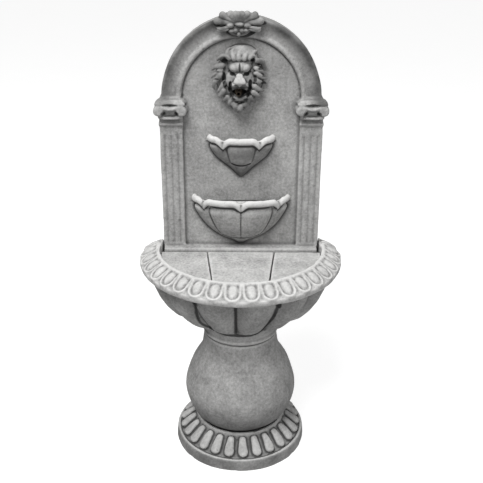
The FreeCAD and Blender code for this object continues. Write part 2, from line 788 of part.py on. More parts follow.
def make_bowl(half, reach, notches, lip_z, tip_z):
    """Lobed half bowl with a thick rolled lip that dips at the notches."""
    depth = lip_z - lip_h - tip_z
    profile = [(0.06, tip_z), (0.16, tip_z + 0.08 * depth), (0.40, tip_z + 0.22 * depth),
               (0.64, tip_z + 0.45 * depth), (0.82, tip_z + 0.72 * depth), (0.92, lip_z - lip_h),
               (1.0, lip_z - 0.8 * lip_h), (1.0, lip_z - 0.25 * lip_h), (0.96, lip_z)]
    body = Part.makeLoft([bowl_ring(half, reach, notches, s, z) for s, z in profile], True, True)
    wall_share = bowl_wall / reach
    hollow = [(0.40 - wall_share, tip_z + 0.40 * depth), (0.78 - wall_share, tip_z + 0.65 * depth),
              (0.93 - wall_share, lip_z - lip_h), (0.98 - wall_share, lip_z)]
    inside = Part.makeLoft([bowl_ring(half, reach, notches, s, z) for s, z in hollow], True, True)
    body = body.cut(inside.common(box(-half, half, 0, field_y - bowl_back, tip_z, lip_z)))
    body = body.cut(inside.common(box(-half, half, 0, field_y, lip_z - bowl_back_drop, lip_z)))
    for degrees in notches:
        out = bowl_spot(half, reach, degrees, 1, 0).sub(point(0, field_y, 0))
        across = point(-out.y, out.x, 0)
        across.normalize()
        near = point(0, field_y, 0).add(out * 0.6)
        wide = notch_drop * 0.9
        corners = [near.add(across * wide).add(point(0, 0, lip_z)),
                   near.sub(across * wide).add(point(0, 0, lip_z)),
                   near.add(point(0, 0, lip_z - notch_drop * 0.6))]
        body = body.cut(Part.Face(Part.makePolygon(corners + corners[:1])).extrude(out * 0.6))
    for x, z in stud_spots():
        stud_floor = point(x, field_y - stud_bed - pin_gap, z)
        body = body.cut(rod(stud_r + pin_gap, stud_floor, point(x, field_y, z)))
    return body


def make_stud_sets():
    seat_y = wall_y - sink_d
    studs = []
    washers = []
    nuts = []
    nut_y = seat_y + washer_t
    stud_end_y = nut_y + stud_nut_t + stud_tail
    for x, z in stud_spots():
        studs.append(rod(stud_r, point(x, field_y - stud_bed, z), point(x, stud_end_y, z)))
        washers.append(tube(washer_r, stud_r + running_gap, point(x, seat_y, z), point(x, nut_y, z)))
        nut = hexagon(stud_nut_flat, point(x, nut_y, z), stud_nut_t, "y")
        nuts.append(nut.cut(rod(stud_r + running_gap, point(x, nut_y, z), point(x, nut_y + stud_nut_t, z))))
    return studs, washers, nuts


# Spout
def make_spout_pipe():
    front = point(water_x, pipe_front_y, spout_z)
    end = point(water_x, pipe_end_y, spout_z)
    seat = point(water_x, mouth_floor_y, spout_z)
    body = rod(pipe_r, front, end).fuse(rod(collar_r, seat.sub(point(0, collar_t, 0)), seat))
    return body.cut(rod(pipe_bore_r, front, end))


def make_elbow():
    centre = point(water_x, elbow_y, spout_z)
    nut_end_y = pocket_y + washer_t + nut_t
    socket = rod(elbow_r, point(water_x, nut_end_y, spout_z), point(water_x, elbow_y + elbow_r, spout_z))
    low = centre.sub(point(0, 0, elbow_drop))
    tip = low.sub(point(0, 0, barb_len))
    body = socket.fuse(rod(elbow_neck_r, low, centre)).fuse(rod(barb_r, tip, low))
    for k in range(3):
        z = low.z - barb_len * (0.3 + 0.3 * k)
        groove = tube(barb_r, barb_r - 0.6, point(water_x, elbow_y, z), point(water_x, elbow_y, z + 1.2))
        body = body.cut(groove)
    body = body.cut(rod(barb_bore_r, tip, centre))
    seat = rod(pipe_r + running_gap, point(water_x, nut_end_y, spout_z),
               point(water_x, pipe_end_y + running_gap, spout_z))
    return body.cut(seat)


def hose_path(start_y, end_z):
    """Straight out of the pump, one wide bend, straight up the channel."""
    level = pump_z
    bend_y = elbow_y - hose_bend_r
    mid = hose_bend_r * math.sqrt(0.5)
    centre = point(water_x, bend_y, level + hose_bend_r)
    return Part.Wire([line(point(water_x, start_y, level), point(water_x, bend_y, level)),
                      arc(point(water_x, bend_y, level), centre.add(point(0, mid, -mid)),
                          point(water_x, elbow_y, level + hose_bend_r)),
                      line(point(water_x, elbow_y, level + hose_bend_r), point(water_x, elbow_y, end_z))])


def make_hose():
    end_z = spout_z - elbow_drop - seat_gap
    path = hose_path(hose_start_y, end_z)
    start = point(water_x, hose_start_y, pump_z)

    def skin(radius):
        circle = Part.Wire(Part.Circle(start, point(0, 1, 0), radius).toShape())
        return path.makePipeShell([circle], True, False)

    body = skin(hose_r).cut(skin(hose_bore_r))
    area = math.pi * (hose_r ** 2 - hose_bore_r ** 2)
    print("hose length %.0f, bend radius %.0f, volume %.0f of %.0f"
          % (path.Length, hose_bend_r, body.Volume, area * path.Length))
    return body


def make_clamps():
    inner = hose_r + clamp_gap
    outer = inner + clamp_t
    first = hose_start_y + clamp_inset
    top = spout_z - elbow_drop - clamp_inset
    low_band = tube(outer, inner, point(water_x, first, pump_z), point(water_x, first + clamp_w, pump_z))
    high_band = tube(outer, inner, point(water_x, elbow_y, top - clamp_w), point(water_x, elbow_y, top))
    low_screw = box(water_x - screw_half, water_x + screw_half, first, first + clamp_w,
                    pump_z + outer - clamp_t / 2, pump_z + outer + screw_half)
    high_screw = box(water_x + outer - clamp_t / 2, water_x + outer + screw_half,
                     elbow_y - screw_half, elbow_y + screw_half, top - clamp_w, top)
    return [low_band.fuse(low_screw), high_band.fuse(high_screw)]


# Pump
def pump_block(x0, x1, half):
    body = box(x0, x1, pump_y - half, pump_y + half, pump_z - half, pump_z + half)
    edges = [e for e in body.Edges if abs(e.tangentAt(e.FirstParameter).x) > 0.99]
    return body.makeFillet(pump_edge_r, edges)


def on_shaft(x):
    return point(x, pump_y, pump_z)


def make_pump_housing():
    end = pump_body_x + pump_body_len
    body = pump_block(pump_body_x, end, pump_half)
    well_end = pump_body_x + rotor_len + well_gap
    body = body.cut(rod(rotor_r + well_gap, on_shaft(pump_body_x), on_shaft(well_end)))
    body = body.cut(rod(bush_r, on_shaft(well_end), on_shaft(well_end + bush_len)))
    return body


def make_impeller_cover():
    start = pump_body_x - cover_len
    body = pump_block(start, pump_body_x, pump_half - 1)
    body = body.cut(rod(chamber_r, on_shaft(pump_body_x - chamber_len), on_shaft(pump_body_x)))
    body = body.cut(rod(inlet_r, on_shaft(start), on_shaft(pump_body_x - chamber_len)))
    nipple_y = pump_y + pump_half - 3
    neck = rod(barb_r, point(water_x, nipple_y, pump_z), point(water_x, nipple_end_y, pump_z))
    body = body.fuse(neck)
    body = body.cut(rod(barb_bore_r, point(water_x, pump_y + chamber_r - 4, pump_z),
                        point(water_x, nipple_end_y, pump_z)))
    hub_x = pump_body_x - chamber_len - bush_len
    hub = tube(bush_r + 1.5, bush_r, on_shaft(hub_x), on_shaft(hub_x + bush_len))
    spoke = box(hub_x, hub_x + bush_len, pump_y - inlet_r - 1, pump_y + inlet_r + 1, pump_z - 1, pump_z + 1)
    return body.fuse(hub.fuse(spoke).cut(rod(bush_r, on_shaft(hub_x), on_shaft(hub_x + bush_len))))


def make_bushes():
    front_x = pump_body_x - chamber_len - bush_len
    rear_x = pump_body_x + rotor_len + well_gap
    return [tube(bush_r, shaft_r, on_shaft(x), on_shaft(x + bush_len)) for x in (front_x, rear_x)]


def make_shaft():
    front_x = pump_body_x - chamber_len - bush_len
    rear_x = pump_body_x + rotor_len + well_gap + bush_len
    return rod(shaft_r, on_shaft(front_x), on_shaft(rear_x))


def make_impeller():
    disc_x = pump_body_x - disc_t - seat_gap
    body = rod(rotor_r, on_shaft(disc_x), on_shaft(pump_body_x + rotor_len - well_gap))
    body = body.fuse(rod(disc_r, on_shaft(disc_x), on_shaft(disc_x + disc_t)))
    for k in range(vane_count):
        vane = box(disc_x - vane_h, disc_x, pump_y - vane_t / 2, pump_y + vane_t / 2,
                   pump_z, pump_z + disc_r - 1)
        vane.rotate(on_shaft(0), point(1, 0, 0), 360.0 * k / vane_count)
        body = body.fuse(vane)
    body = body.fuse(rod(4.0, on_shaft(disc_x - vane_h), on_shaft(disc_x)))
    return body.cut(rod(shaft_r + running_gap, on_shaft(disc_x - vane_h),
                        on_shaft(pump_body_x + rotor_len)))


def make_strainer():
    near = pump_body_x - cover_len
    far = near - strainer_len
    half = pump_half - 1
    body = pump_block(far, near, half)
    inner = half - strainer_wall
    body = body.cut(box(far + strainer_wall, near, pump_y - inner, pump_y + inner,
                        pump_z - inner, pump_z + inner))
    pitch = (strainer_len - strainer_wall) / (slot_count + 1)
    for k in range(slot_count):
        x = far + strainer_wall + pitch * (k + 1)
        gap = box(x - strainer_slot_w / 2, x + strainer_slot_w / 2, pump_y - half, pump_y + half,
                  pump_z - half + 10, pump_z + half - 10)
        body = body.cut(gap)
    return body.cut(rod(dial_pin_r + running_gap, on_shaft(far), on_shaft(far + strainer_wall)))


def make_foam():
    near = pump_body_x - cover_len
    half = pump_half - 1 - strainer_wall - seat_gap
    return box(near - strainer_len + strainer_wall + 5, near - seat_gap, pump_y - half, pump_y + half,
               pump_z - half, pump_z + half)


def make_dial():
    face = pump_body_x - cover_len - strainer_len
    front = face - seat_gap - dial_t
    body = rod(dial_r, on_shaft(front), on_shaft(face - seat_gap))
    body = body.fuse(box(front - grip_h, front, pump_y - dial_r + 1, pump_y + dial_r - 1,
                         pump_z - grip_w / 2, pump_z + grip_w / 2))
    pin_end = face + strainer_wall + 1.5
    return body.fuse(rod(dial_pin_r, on_shaft(face - seat_gap), on_shaft(pin_end)))


def make_pump_feet():
    end = pump_body_x + pump_body_len
    feet = []
    for x in (pump_body_x + foot_pad_r + 3, end - foot_pad_r - 3):
        for y in (pump_y - pump_half + foot_pad_r + 2, pump_y + pump_half - foot_pad_r - 2):
            foot = point(x, y, reservoir_floor_z)
            feet.append(Part.makeCone(foot_pad_r, foot_pad_top_r, foot_pad_h, foot))
    return feet


def make_gland():
    face = pump_body_x + pump_body_len
    body = hexagon(2 * gland_r, on_shaft(face), gland_len * 0.4, "x")
    nose_x = face + gland_len * 0.4
    nose = Part.makeCone(gland_r - 0.5, gland_r - 2.5, gland_len * 0.6, on_shaft(nose_x), point(1, 0, 0))
    body = body.fuse(nose)
    return body.cut(rod(gland_bore_r, on_shaft(face + 2), on_shaft(face + gland_len)))


def make_inserts():
    inserts = []
    for side in (-1, 1):
        x = side * insert_x
        body = rod(insert_r, point(x, wall_y - insert_len, insert_z), point(x, wall_y, insert_z))
        inserts.append(body.cut(rod(insert_bore_r, point(x, wall_y - insert_thread_len, insert_z),
                                    point(x, wall_y, insert_z))))
    return inserts


def make_dowels():
    dowels = []
    for side in (-1, 1):
        middle = point(side * dowel_x, dowel_y, shelf_z)
        half = point(0, 0, dowel_half_len)
        dowels.append(rod(dowel_r, middle.sub(half), middle.add(half)))
    return dowels


def make_spout_nut():
    seat = pocket_y + washer_t
    nut = hexagon(nut_flat, point(water_x, seat, spout_z), nut_t, "y")
    return nut.cut(rod(pipe_r + running_gap, point(water_x, seat, spout_z),
                       point(water_x, seat + nut_t, spout_z)))


def make_spout_washer():
    return tube(nut_flat / 2 + 2, pipe_r + running_gap, point(water_x, pocket_y, spout_z),
                point(water_x, pocket_y + washer_t, spout_z))


def main():
    os.makedirs("parts", exist_ok=True)
    save("plinth", make_plinth())
    save("globe", make_globe())
    save("basin", make_basin())
    left, centre, right = make_plates()
    save("cover_plate_left", left)
    save("cover_plate_centre", centre)
    save("cover_plate_right", right)
    save("back_panel", make_panel())
    save("shell_crest", make_crest())
    save("lion_mask", make_mask())
    save("upper_bowl", make_bowl(upper_half, upper_reach, upper_notches, upper_lip_z, upper_tip_z))
    save("middle_bowl", make_bowl(middle_half, middle_reach, middle_notches, middle_lip_z, middle_tip_z))
    studs, washers, nuts = make_stud_sets()
    save("bowl_studs", Part.makeCompound(studs))
    save("bowl_washers", Part.makeCompound(washers))
    save("bowl_nuts", Part.makeCompound(nuts))
    save("ornament_pins", Part.makeCompound([pin_rod(spot, 0) for spot in pin_spots()]))
    save("panel_dowels", Part.makeCompound(make_dowels()))
    save("wall_inserts", Part.makeCompound(make_inserts()))
    save("spout_pipe", make_spout_pipe())
    save("spout_washer", make_spout_washer())
    save("spout_nut", make_spout_nut())
    save("spout_elbow", make_elbow())
    save("supply_hose", make_hose())
    save("hose_clamps", Part.makeCompound(make_clamps()))
    save("drain_stopper", make_stopper())
    save("pump_housing", make_pump_housing())
    save("impeller_cover", make_impeller_cover())
    save("impeller", make_impeller())
    save("impeller_shaft", make_shaft())
    save("shaft_bushes", Part.makeCompound(make_bushes()))
    save("strainer_cover", make_strainer())
    save("filter_foam", make_foam())
    save("flow_dial", make_dial())
    save("suction_feet", Part.makeCompound(make_pump_feet()))
    save("cable_gland", make_gland())


main()
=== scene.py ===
import math
from itertools import product
import bpy
import numpy as np
from mathutils import Matrix, Vector
from mathutils.bvhtree import BVHTree


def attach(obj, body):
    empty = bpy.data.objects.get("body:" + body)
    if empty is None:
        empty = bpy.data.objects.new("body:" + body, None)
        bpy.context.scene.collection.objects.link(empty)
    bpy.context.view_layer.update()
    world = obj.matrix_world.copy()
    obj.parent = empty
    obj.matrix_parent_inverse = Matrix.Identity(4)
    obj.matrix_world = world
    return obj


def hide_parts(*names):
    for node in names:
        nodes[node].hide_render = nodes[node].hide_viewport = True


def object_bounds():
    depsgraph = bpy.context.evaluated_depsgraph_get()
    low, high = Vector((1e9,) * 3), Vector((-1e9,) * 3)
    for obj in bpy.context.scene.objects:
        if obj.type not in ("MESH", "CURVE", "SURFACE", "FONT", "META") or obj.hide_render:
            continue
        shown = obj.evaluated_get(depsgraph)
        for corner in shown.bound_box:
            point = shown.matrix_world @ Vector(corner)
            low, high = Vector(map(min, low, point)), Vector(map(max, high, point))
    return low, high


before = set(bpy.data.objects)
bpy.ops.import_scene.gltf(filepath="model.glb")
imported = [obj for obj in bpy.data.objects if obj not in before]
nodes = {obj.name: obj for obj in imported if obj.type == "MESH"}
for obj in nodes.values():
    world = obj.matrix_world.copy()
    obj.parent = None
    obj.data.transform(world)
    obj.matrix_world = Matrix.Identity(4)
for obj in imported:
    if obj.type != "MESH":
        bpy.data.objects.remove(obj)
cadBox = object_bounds()
scene = bpy.context.scene
mm = 0.001      # every shape below is drawn in millimetres
print("frame loaded,", len(nodes), "nodes")

# camera: someone standing in front, looking down at the fountain
view = {
    "eye": (0.0, -2.1273, 1.6348),
    "pitchDown": 23.8,
    "roll": 0.2,
    "lens": 57.4,
    "sensor": 36.0,
    "shiftX": 0.0015,
}


def makeCamera():
    data = bpy.data.cameras.new("viewCamera")
    data.sensor_width = view["sensor"]
    data.lens = view["lens"]
    data.shift_x = view["shiftX"]
    data.clip_end = 60
    camera = bpy.data.objects.new("viewCamera", data)
    pitch = Matrix.Rotation(math.radians(90 - view["pitchDown"]), 4, "X")
    roll = Matrix.Rotation(math.radians(view["roll"]), 4, "Z")
    camera.matrix_world = Matrix.Translation(view["eye"]) @ pitch @ roll
    scene.collection.objects.link(camera)
    scene.camera = camera


makeCamera()
scene.view_settings.view_transform = "Standard"
print("camera set")


# shader wiring
class Wire:      # an output socket that can be used in sums
    def __init__(self, tree, socket):
        self.tree = tree
        self.socket = socket

    def __add__(self, other):
        return self.tree.sum("ADD", self, other)

    def __radd__(self, other):
        return self.tree.sum("ADD", other, self)

    def __sub__(self, other):
        return self.tree.sum("SUBTRACT", self, other)

    def __rsub__(self, other):
        return self.tree.sum("SUBTRACT", other, self)

    def __mul__(self, other):
        return self.tree.sum("MULTIPLY", self, other)

    def __rmul__(self, other):
        return self.tree.sum("MULTIPLY", other, self)


class Finish:      # the nodes of a new material, or of a world
    def __init__(self, name, world=None):
        self.owner = world or bpy.data.materials.new(name)
        self.owner.use_nodes = True
        self.tree = self.owner.node_tree
        self.tree.nodes.clear()

    def node(self, kind, settings=None, sockets=None):
        made = self.tree.nodes.new(kind)
        for key, value in (settings or {}).items():
            setattr(made, key, value)
        for key, value in (sockets or {}).items():
            if isinstance(value, Wire):
                self.tree.links.new(value.socket, made.inputs[key])
            else:
                made.inputs[key].default_value = value
        return made

    def out(self, made, key=0):
        return Wire(self, made.outputs[key])

    def sum(self, operation, a, b):
        return self.out(self.node("ShaderNodeMath", {"operation": operation}, {0: a, 1: b}))

    def clip(self, value, low, high):      # 0 below low, 1 above high
        return self.out(self.node("ShaderNodeMapRange", {"clamp": True}, {0: value, 1: low, 2: high}))

    def noise(self, where, scale, detail=4.0, rough=0.55):
        sockets = {"Vector": where, "Scale": scale, "Detail": detail, "Roughness": rough}
        return self.out(self.node("ShaderNodeTexNoise", {}, sockets), "Fac")

    def cells(self, where, scale):
        return self.out(self.node("ShaderNodeTexVoronoi", {}, {"Vector": where, "Scale": scale}), "Distance")

    def place(self):
        return self.out(self.node("ShaderNodeTexCoord"), "Object")

    def facing(self):      # how far the surface faces upwards
        normal = self.out(self.node("ShaderNodeTexCoord"), "Normal")
        return self.out(self.node("ShaderNodeSeparateXYZ", {}, {0: normal}), "Z")

    def painted(self, name):
        return self.out(self.node("ShaderNodeAttribute", {"attribute_name": name}), "Fac")

    def mix(self, share, a, b):
        return self.out(self.node("ShaderNodeMix", {"data_type": "RGBA"}, {0: share, 6: a, 7: b}), 2)

    def bump(self, height, strength, distance):
        sockets = {"Height": height, "Strength": strength, "Distance": distance}
        return self.out(self.node("ShaderNodeBump", {}, sockets))

    def close(self, sockets):
        shader = self.node("ShaderNodeBsdfPrincipled", {}, sockets)
        self.node("ShaderNodeOutputMaterial", {}, {"Surface": self.out(shader)})
        return self.owner


def grey(value):
    return (value, value * 0.995, value * 0.98, 1.0)


# cast stone: mottled body, a dark wash and painted shade left in the hollows and broad recesses, rubbed pale
# on the edges and paler where they face up (painted top light)
stoneLook = {
    "body": 0.32,
    "pale": 0.60,
    "wash": 0.030,
    "layers": {      # scale, detail, roughness, share in the tone
        "blotch": (8.0, 6.0, 0.62, 0.90),
        "mottle": (30.0, 6.0, 0.65, 0.95),
        "fleck": (125.0, 3.0, 0.65, 1.25),
        "grain": (420.0, 3.0, 0.70, 0.60),
    },
    "speckScale": 150.0,
    "poreScale": 260.0,
    "bump": 0.55,
    "bumpDepth": 0.0011,
}
skinMarks = ("hollow", "worn", "pit", "broadRecessShade", "jointDirtAndShade", "stain")      # what weathering leaves on a mesh, with painted shade in recesses, dents and where stones meet


# body: tone of the whole stone, washed: dirt and painted shade left on it, rubbed: how pale its worn edges
# are, paler where they face up as painted top light
def makeStone(name, body=1.0, washed=1.0, rubbedAndLit=1.0):
    f = Finish(name)
    where = f.place()
    layers, tone = {}, 1.0
    for key, (scale, detail, rough, share) in stoneLook["layers"].items():
        layers[key] = f.noise(where, scale, detail, rough)
        tone = tone + share * (layers[key] - 0.5)
    blotch, mottle, grain = (layers[key] for key in ("blotch", "mottle", "grain"))
    hollow, worn, pit, broadRecessShade, jointDirtAndShade, stain = (f.painted(key) for key in skinMarks)
    tone = tone * (stoneLook["body"] * body)
    base = f.out(f.node("ShaderNodeCombineColor", {}, {0: tone, 1: tone * 0.995, 2: tone * 0.98}))
    # worn edges rubbed pale, and paler where they face up: painted top light
    rubAndTopLight = f.clip(worn * (0.50 + 0.8 * mottle) + 0.16 * f.facing(), 0.16, 1.0)
    base = f.mix(rubAndTopLight * (0.85 * rubbedAndLit), base, grey(stoneLook["pale"]))
    speck = f.clip(f.noise(where, stoneLook["speckScale"], 2.0, 0.5), 0.66, 0.74)
    # dirt and painted shade in creases, painted shade in broad recesses
    creaseDirtAndShade = hollow * (0.6 + 0.7 * mottle) + broadRecessShade * (0.3 + 0.6 * blotch)
    darkening = (      # share of the surface, its strength, how pale it is
        (f.clip(creaseDirtAndShade, 0.12, 1.05), 0.88 * washed, 1.0),
        # stains, and painted shade under the rim and the lips, on the arch and at the globe's foot
        (f.clip(stain * (0.5 + mottle), 0.0, 1.0), 1.0, 1.5),
        # painted shade in dents and where stones meet, with joint dirt
        (f.clip(jointDirtAndShade * (0.7 + 0.6 * mottle), 0.1, 0.9), 0.92, 0.6),
        (speck * 0.30 + pit * 0.70, 0.8 * washed, 2.2),
    )
    for share, strength, paler in darkening:
        base = f.mix(share * strength, base, grey(stoneLook["wash"] * paler))
    pores = f.clip(f.cells(where, stoneLook["poreScale"]), 0.05, 0.45)
    height = grain * 0.5 + pores * 0.35 + mottle * 0.5
    return f.close({"Base Color": base, "Roughness": f.clip(mottle, -0.6, 1.1) * 0.25 + 0.72,
                    "Normal": f.bump(height, stoneLook["bump"], stoneLook["bumpDepth"]),
                    "Specular IOR Level": 0.25})


stone = makeStone("castStone")
# the plates, which face up, paler: partly their own tone, partly painted top light
stonePlatesLit = makeStone("castStonePlatesLit", 1.22, 0.7, 0.5)
stoneBasin = makeStone("castStoneBasin", 1.15, 0.85)
stonePanel = makeStone("castStonePanel", 1.0, 0.9, 0.35)
stoneCarving = makeStone("castStoneCarving", 0.88, 0.95, 0.40)
stoneFoot = makeStone("castStoneFoot", 0.92, 1.0, 0.40)
stoneBall = makeStone("castStoneBall", 0.77, 1.0, 0.30)


# metals, rubber and plastics of the inner parts
def makeMetal(name, colour, dull, rough, tarnish, stretch):
    f = Finish(name)
    where = f.place()
    drawn = f.out(f.node("ShaderNodeMapping", {}, {"Vector": where, "Scale": stretch}))
    lines = f.noise(drawn, 900.0, 3.0, 0.6)
    patches = f.noise(where, 70.0, 5.0, 0.6)
    share = f.clip(patches, 0.42, 0.70) * tarnish
    base = f.mix(share, colour, dull)
    normal = f.bump(lines, 0.25, 0.0002)
    return f.close({"Base Color": base, "Metallic": 1.0, "Roughness": rough + 0.12 * lines + 0.25 * share,
                    "Normal": normal})


def makeMatt(name, colour, dusty, rough, scale, depth, cellular=False):
    f = Finish(name)
    where = f.place()
    grain = f.cells(where, scale) if cellular else f.noise(where, scale, 4.0, 0.6)
    dust = f.clip(f.noise(where, 45.0, 5.0, 0.65), 0.45, 0.75)
    base = f.mix(dust * 0.5, colour, dusty)
    return f.close({"Base Color": base, "Roughness": rough + 0.15 * dust,
                    "Normal": f.bump(grain, 0.5, depth)})


steel = makeMetal("satinSteel", (0.60, 0.60, 0.61, 1), (0.40, 0.39, 0.37, 1), 0.30, 0.5, (1, 1, 9))
brass = makeMetal("dullBrass", (0.20, 0.15, 0.08, 1), (0.05, 0.04, 0.03, 1), 0.45, 0.9, (1, 6, 1))
# brass of the spout pipe darkened as painted shade, for where it sits inside the mouth
shadedBrass = makeMetal("brassInShade", (0.05, 0.04, 0.03, 1), (0.02, 0.017, 0.014, 1), 0.5, 0.9, (1, 6, 1))
rubber = makeMatt("blackRubber", (0.022, 0.022, 0.022, 1), (0.07, 0.07, 0.065, 1), 0.62, 800.0, 0.0003)
vinyl = makeMatt("hoseVinyl", (0.030, 0.030, 0.032, 1), (0.08, 0.08, 0.075, 1), 0.36, 300.0, 0.0002)
plastic = makeMatt("mattPlastic", (0.030, 0.030, 0.034, 1), (0.09, 0.09, 0.085, 1), 0.45, 1500.0, 0.0002)
ceramic = makeMatt("groundCeramic", (0.82, 0.82, 0.80, 1), (0.70, 0.69, 0.66, 1), 0.25, 2500.0, 0.0001)
foam = makeMatt("filterFoam", (0.035, 0.035, 0.035, 1), (0.10, 0.10, 0.09, 1), 0.9, 650.0, 0.0016, True)

plainFinish = (
    (steel, ("bowl_studs", "bowl_washers", "bowl_nuts", "ornament_pins", "panel_dowels", "wall_inserts",
             "hose_clamps")),
    (shadedBrass, ("spout_pipe",)),
    (brass, ("spout_nut", "spout_elbow")),
    (rubber, ("spout_washer", "shaft_bushes", "suction_feet", "drain_stopper")),
    (vinyl, ("supply_hose",)),
    (plastic, ("pump_housing", "impeller_cover", "impeller", "strainer_cover", "flow_dial", "cable_gland")),
    (ceramic, ("impeller_shaft",)),
    (foam, ("filter_foam",)),
)
for finish, names in plainFinish:
    for name in names:
        for holder in nodes[name].material_slots:
            holder.material = finish
print("finishes made")


# forms: each is a pair of point array and face list
def joined(forms):
    points, faces, start = [], [], 0
    for verts, polys in forms:
        points.append(verts)
        faces += [[start + k for k in poly] for poly in polys]
        start += len(verts)
    return np.vstack(points), faces


# skin over a run of closed rings: a lid on each end, or the last ring tied to the first
def ringStack(rings, closedEnds=True):
    rings = np.asarray(rings, float)
    count, sides = rings.shape[:2]
    laps = count - 1 if closedEnds else count
    row = (np.arange(laps) * sides)[:, None]
    nextRow = (((np.arange(laps) + 1) % count) * sides)[:, None]
    here = np.arange(sides)[None, :]
    after = (here + 1) % sides
    faces = np.stack([row + here, row + after, nextRow + after, nextRow + here], -1).reshape(-1, 4).tolist()
    verts = rings.reshape(-1, 3)
    if closedEnds:
        verts = np.vstack([verts, rings[0].mean(0), rings[-1].mean(0)])
        first, last, base = count * sides, count * sides + 1, (count - 1) * sides
        faces += [[first, (k + 1) % sides, k] for k in range(sides)]
        faces += [[last, base + k, base + (k + 1) % sides] for k in range(sides)]
    return verts, faces


def unit(vectors):
    return vectors / np.maximum(np.linalg.norm(vectors, axis=-1, keepdims=True), 1e-9)


# oval bar along a path, half width across it and half height towards up
def sweep(path, wide, high, up, sides):
    path = np.asarray(path, float)
    count = len(path)
    wide = np.broadcast_to(wide, count).astype(float)
    high = np.broadcast_to(high, count).astype(float)
    along = unit(np.gradient(path, axis=0))
    across = unit(np.cross(along, np.broadcast_to(up, path.shape)))
    lift = np.cross(across, along)
    turn = np.linspace(0, 2 * math.pi, sides, endpoint=False)
    rings = (path[:, None] + across[:, None] * (np.cos(turn)[None, :, None] * wide[:, None, None])
             + lift[:, None] * (np.sin(turn)[None, :, None] * high[:, None, None]))
    return ringStack(rings)


# closed outline of radius and height, turned about the upright axis
def lathe(profile, sides):
    turn = np.linspace(0, 2 * math.pi, sides, endpoint=False)
    profile = np.asarray(profile, float)
    rings = np.stack([profile[:, :1] * np.cos(turn), profile[:, :1] * np.sin(turn),
                      np.repeat(profile[:, 1:], sides, 1)], -1)
    return ringStack(rings, False)


# egg shape, tilted sideways by some degrees
def blob(centre, half, tilt=0.0, laps=13, sides=20):
    lat = np.linspace(-math.pi / 2, math.pi / 2, laps)[1:-1, None]
    turn = np.linspace(0, 2 * math.pi, sides, endpoint=False)[None]
    rings = np.stack([np.cos(lat) * np.cos(turn), np.cos(lat) * np.sin(turn),
                      np.repeat(np.sin(lat), sides, 1)], -1) * half
    return ringStack(rings @ np.array(Matrix.Rotation(math.radians(tilt), 3, "Y")).T + centre)


def boxOf(low, high):
    low, high = np.asarray(low, float), np.asarray(high, float)
    x, y = [low[0], high[0], high[0], low[0]], [low[1], low[1], high[1], high[1]]
    return ringStack([np.stack([x, y, [z] * 4], -1) for z in (low[2], high[2])])


# smooth line through the points
def through(points, steps=8):
    p = np.asarray(points, float)
    p = np.vstack([2 * p[0] - p[1], p, 2 * p[-1] - p[-2]])
    line = []
    for k in range(1, len(p) - 2):
        t = np.linspace(0, 1, steps, endpoint=False)[:, None]
        a, b, c, d = p[k - 1], p[k], p[k + 1], p[k + 2]
        line.append(0.5 * (2 * b + (c - a) * t + (2 * a - 5 * b + 4 * c - d) * t ** 2
                           + (3 * b - a - 3 * c + d) * t ** 3))
    return np.vstack(line + [p[-2:-1]])


def pointsOf(mesh):
    points = np.empty(len(mesh.vertices) * 3)
    mesh.vertices.foreach_get("co", points)
    return points.reshape(-1, 3) / mm


def formOf(mesh):
    return pointsOf(mesh), [list(p.vertices) for p in mesh.polygons]


def meshOf(name, form):
    mesh = bpy.data.meshes.new(name)
    mesh.from_pydata((np.asarray(form[0]) * mm).tolist(), [], form[1])
    return mesh


def newObject(name, mesh):
    made = bpy.data.objects.new(name, mesh)
    scene.collection.objects.link(made)
    return made


# mesh of an object with its modifiers applied
def settled(block):
    bpy.context.view_layer.update()
    return bpy.data.meshes.new_from_object(block.evaluated_get(bpy.context.evaluated_depsgraph_get()))


# the form less each cutter
def carved(form, cutters):
    block = newObject("carving", meshOf("carving", form))
    tools = []
    for cutter in cutters:
        tool = newObject("cutter", meshOf("cutter", cutter))
        step = block.modifiers.new("cut", "BOOLEAN")
        step.operation = "DIFFERENCE"
        step.solver = "EXACT"
        step.object = tool
        tools.append(tool)
    result = formOf(settled(block))
    for old in tools + [block]:
        bpy.data.objects.remove(old)
    return result


# whole numbers that look random, one for each cell of a lattice
def scramble(cell, seed):
    n = (cell[:, 0] * 73856093) ^ (cell[:, 1] * 19349663) ^ (cell[:, 2] * 83492791) ^ (seed * 668265263)
    return ((n ^ (n >> 13)) * 1274126177) & 0x7FFFFFFF


# smooth random values from -1 to 1 on a lattice of the given size
def lattice(points, size, seed):
    q = points / size + 100.0
    base = np.floor(q).astype(np.int64)
    f = q - base
    f = f * f * (3 - 2 * f)
    total = np.zeros(len(points))
    for corner in product((0, 1), repeat=3):
        n = scramble(base + corner, seed)
        n = n ^ (n >> 16)
        share = np.where(corner, f, 1 - f).prod(1)
        total += ((n & 0xFFFF) / 32767.5 - 1) * share
    return total


# 1 in the middle of scattered pits, 0 away from them
def pitsAt(points, size, seed, chance, radius):
    q = points / size + 100.0
    base = np.floor(q).astype(np.int64)
    best = np.zeros(len(points))
    for corner in product((-1, 0, 1), repeat=3):
        cell = base + corner
        n = scramble(cell, seed)
        n = n ^ (n >> 15)
        spot = cell + np.stack([(n & 255), (n >> 8) & 255, (n >> 16) & 255], -1) / 255.0
        away = np.linalg.norm((q - spot) * size, axis=1)
        grown = radius * (0.5 + ((n >> 4) & 127) / 127.0)
        best = np.where(((n >> 20) & 127) / 127.0 < chance, np.maximum(best, 1 - away / grown), best)
    return np.clip(best, 0, 1)


stoneSkin = {
    "unevenness": ((75.0, 0.9), (24.0, 0.45), (9.0, 0.25)),     # lattice size, depth
    "pitSpacing": 21.0,
    "pitChance": 0.16,
    "pitRadius": 3.2,
    "pitDepth": 1.6,
    "chipDepth": 1.3,
    "chipSize": 14.0,
    "easeRounds": 90.0,      # at a grain of 1 mm, fewer where it is coarser
}
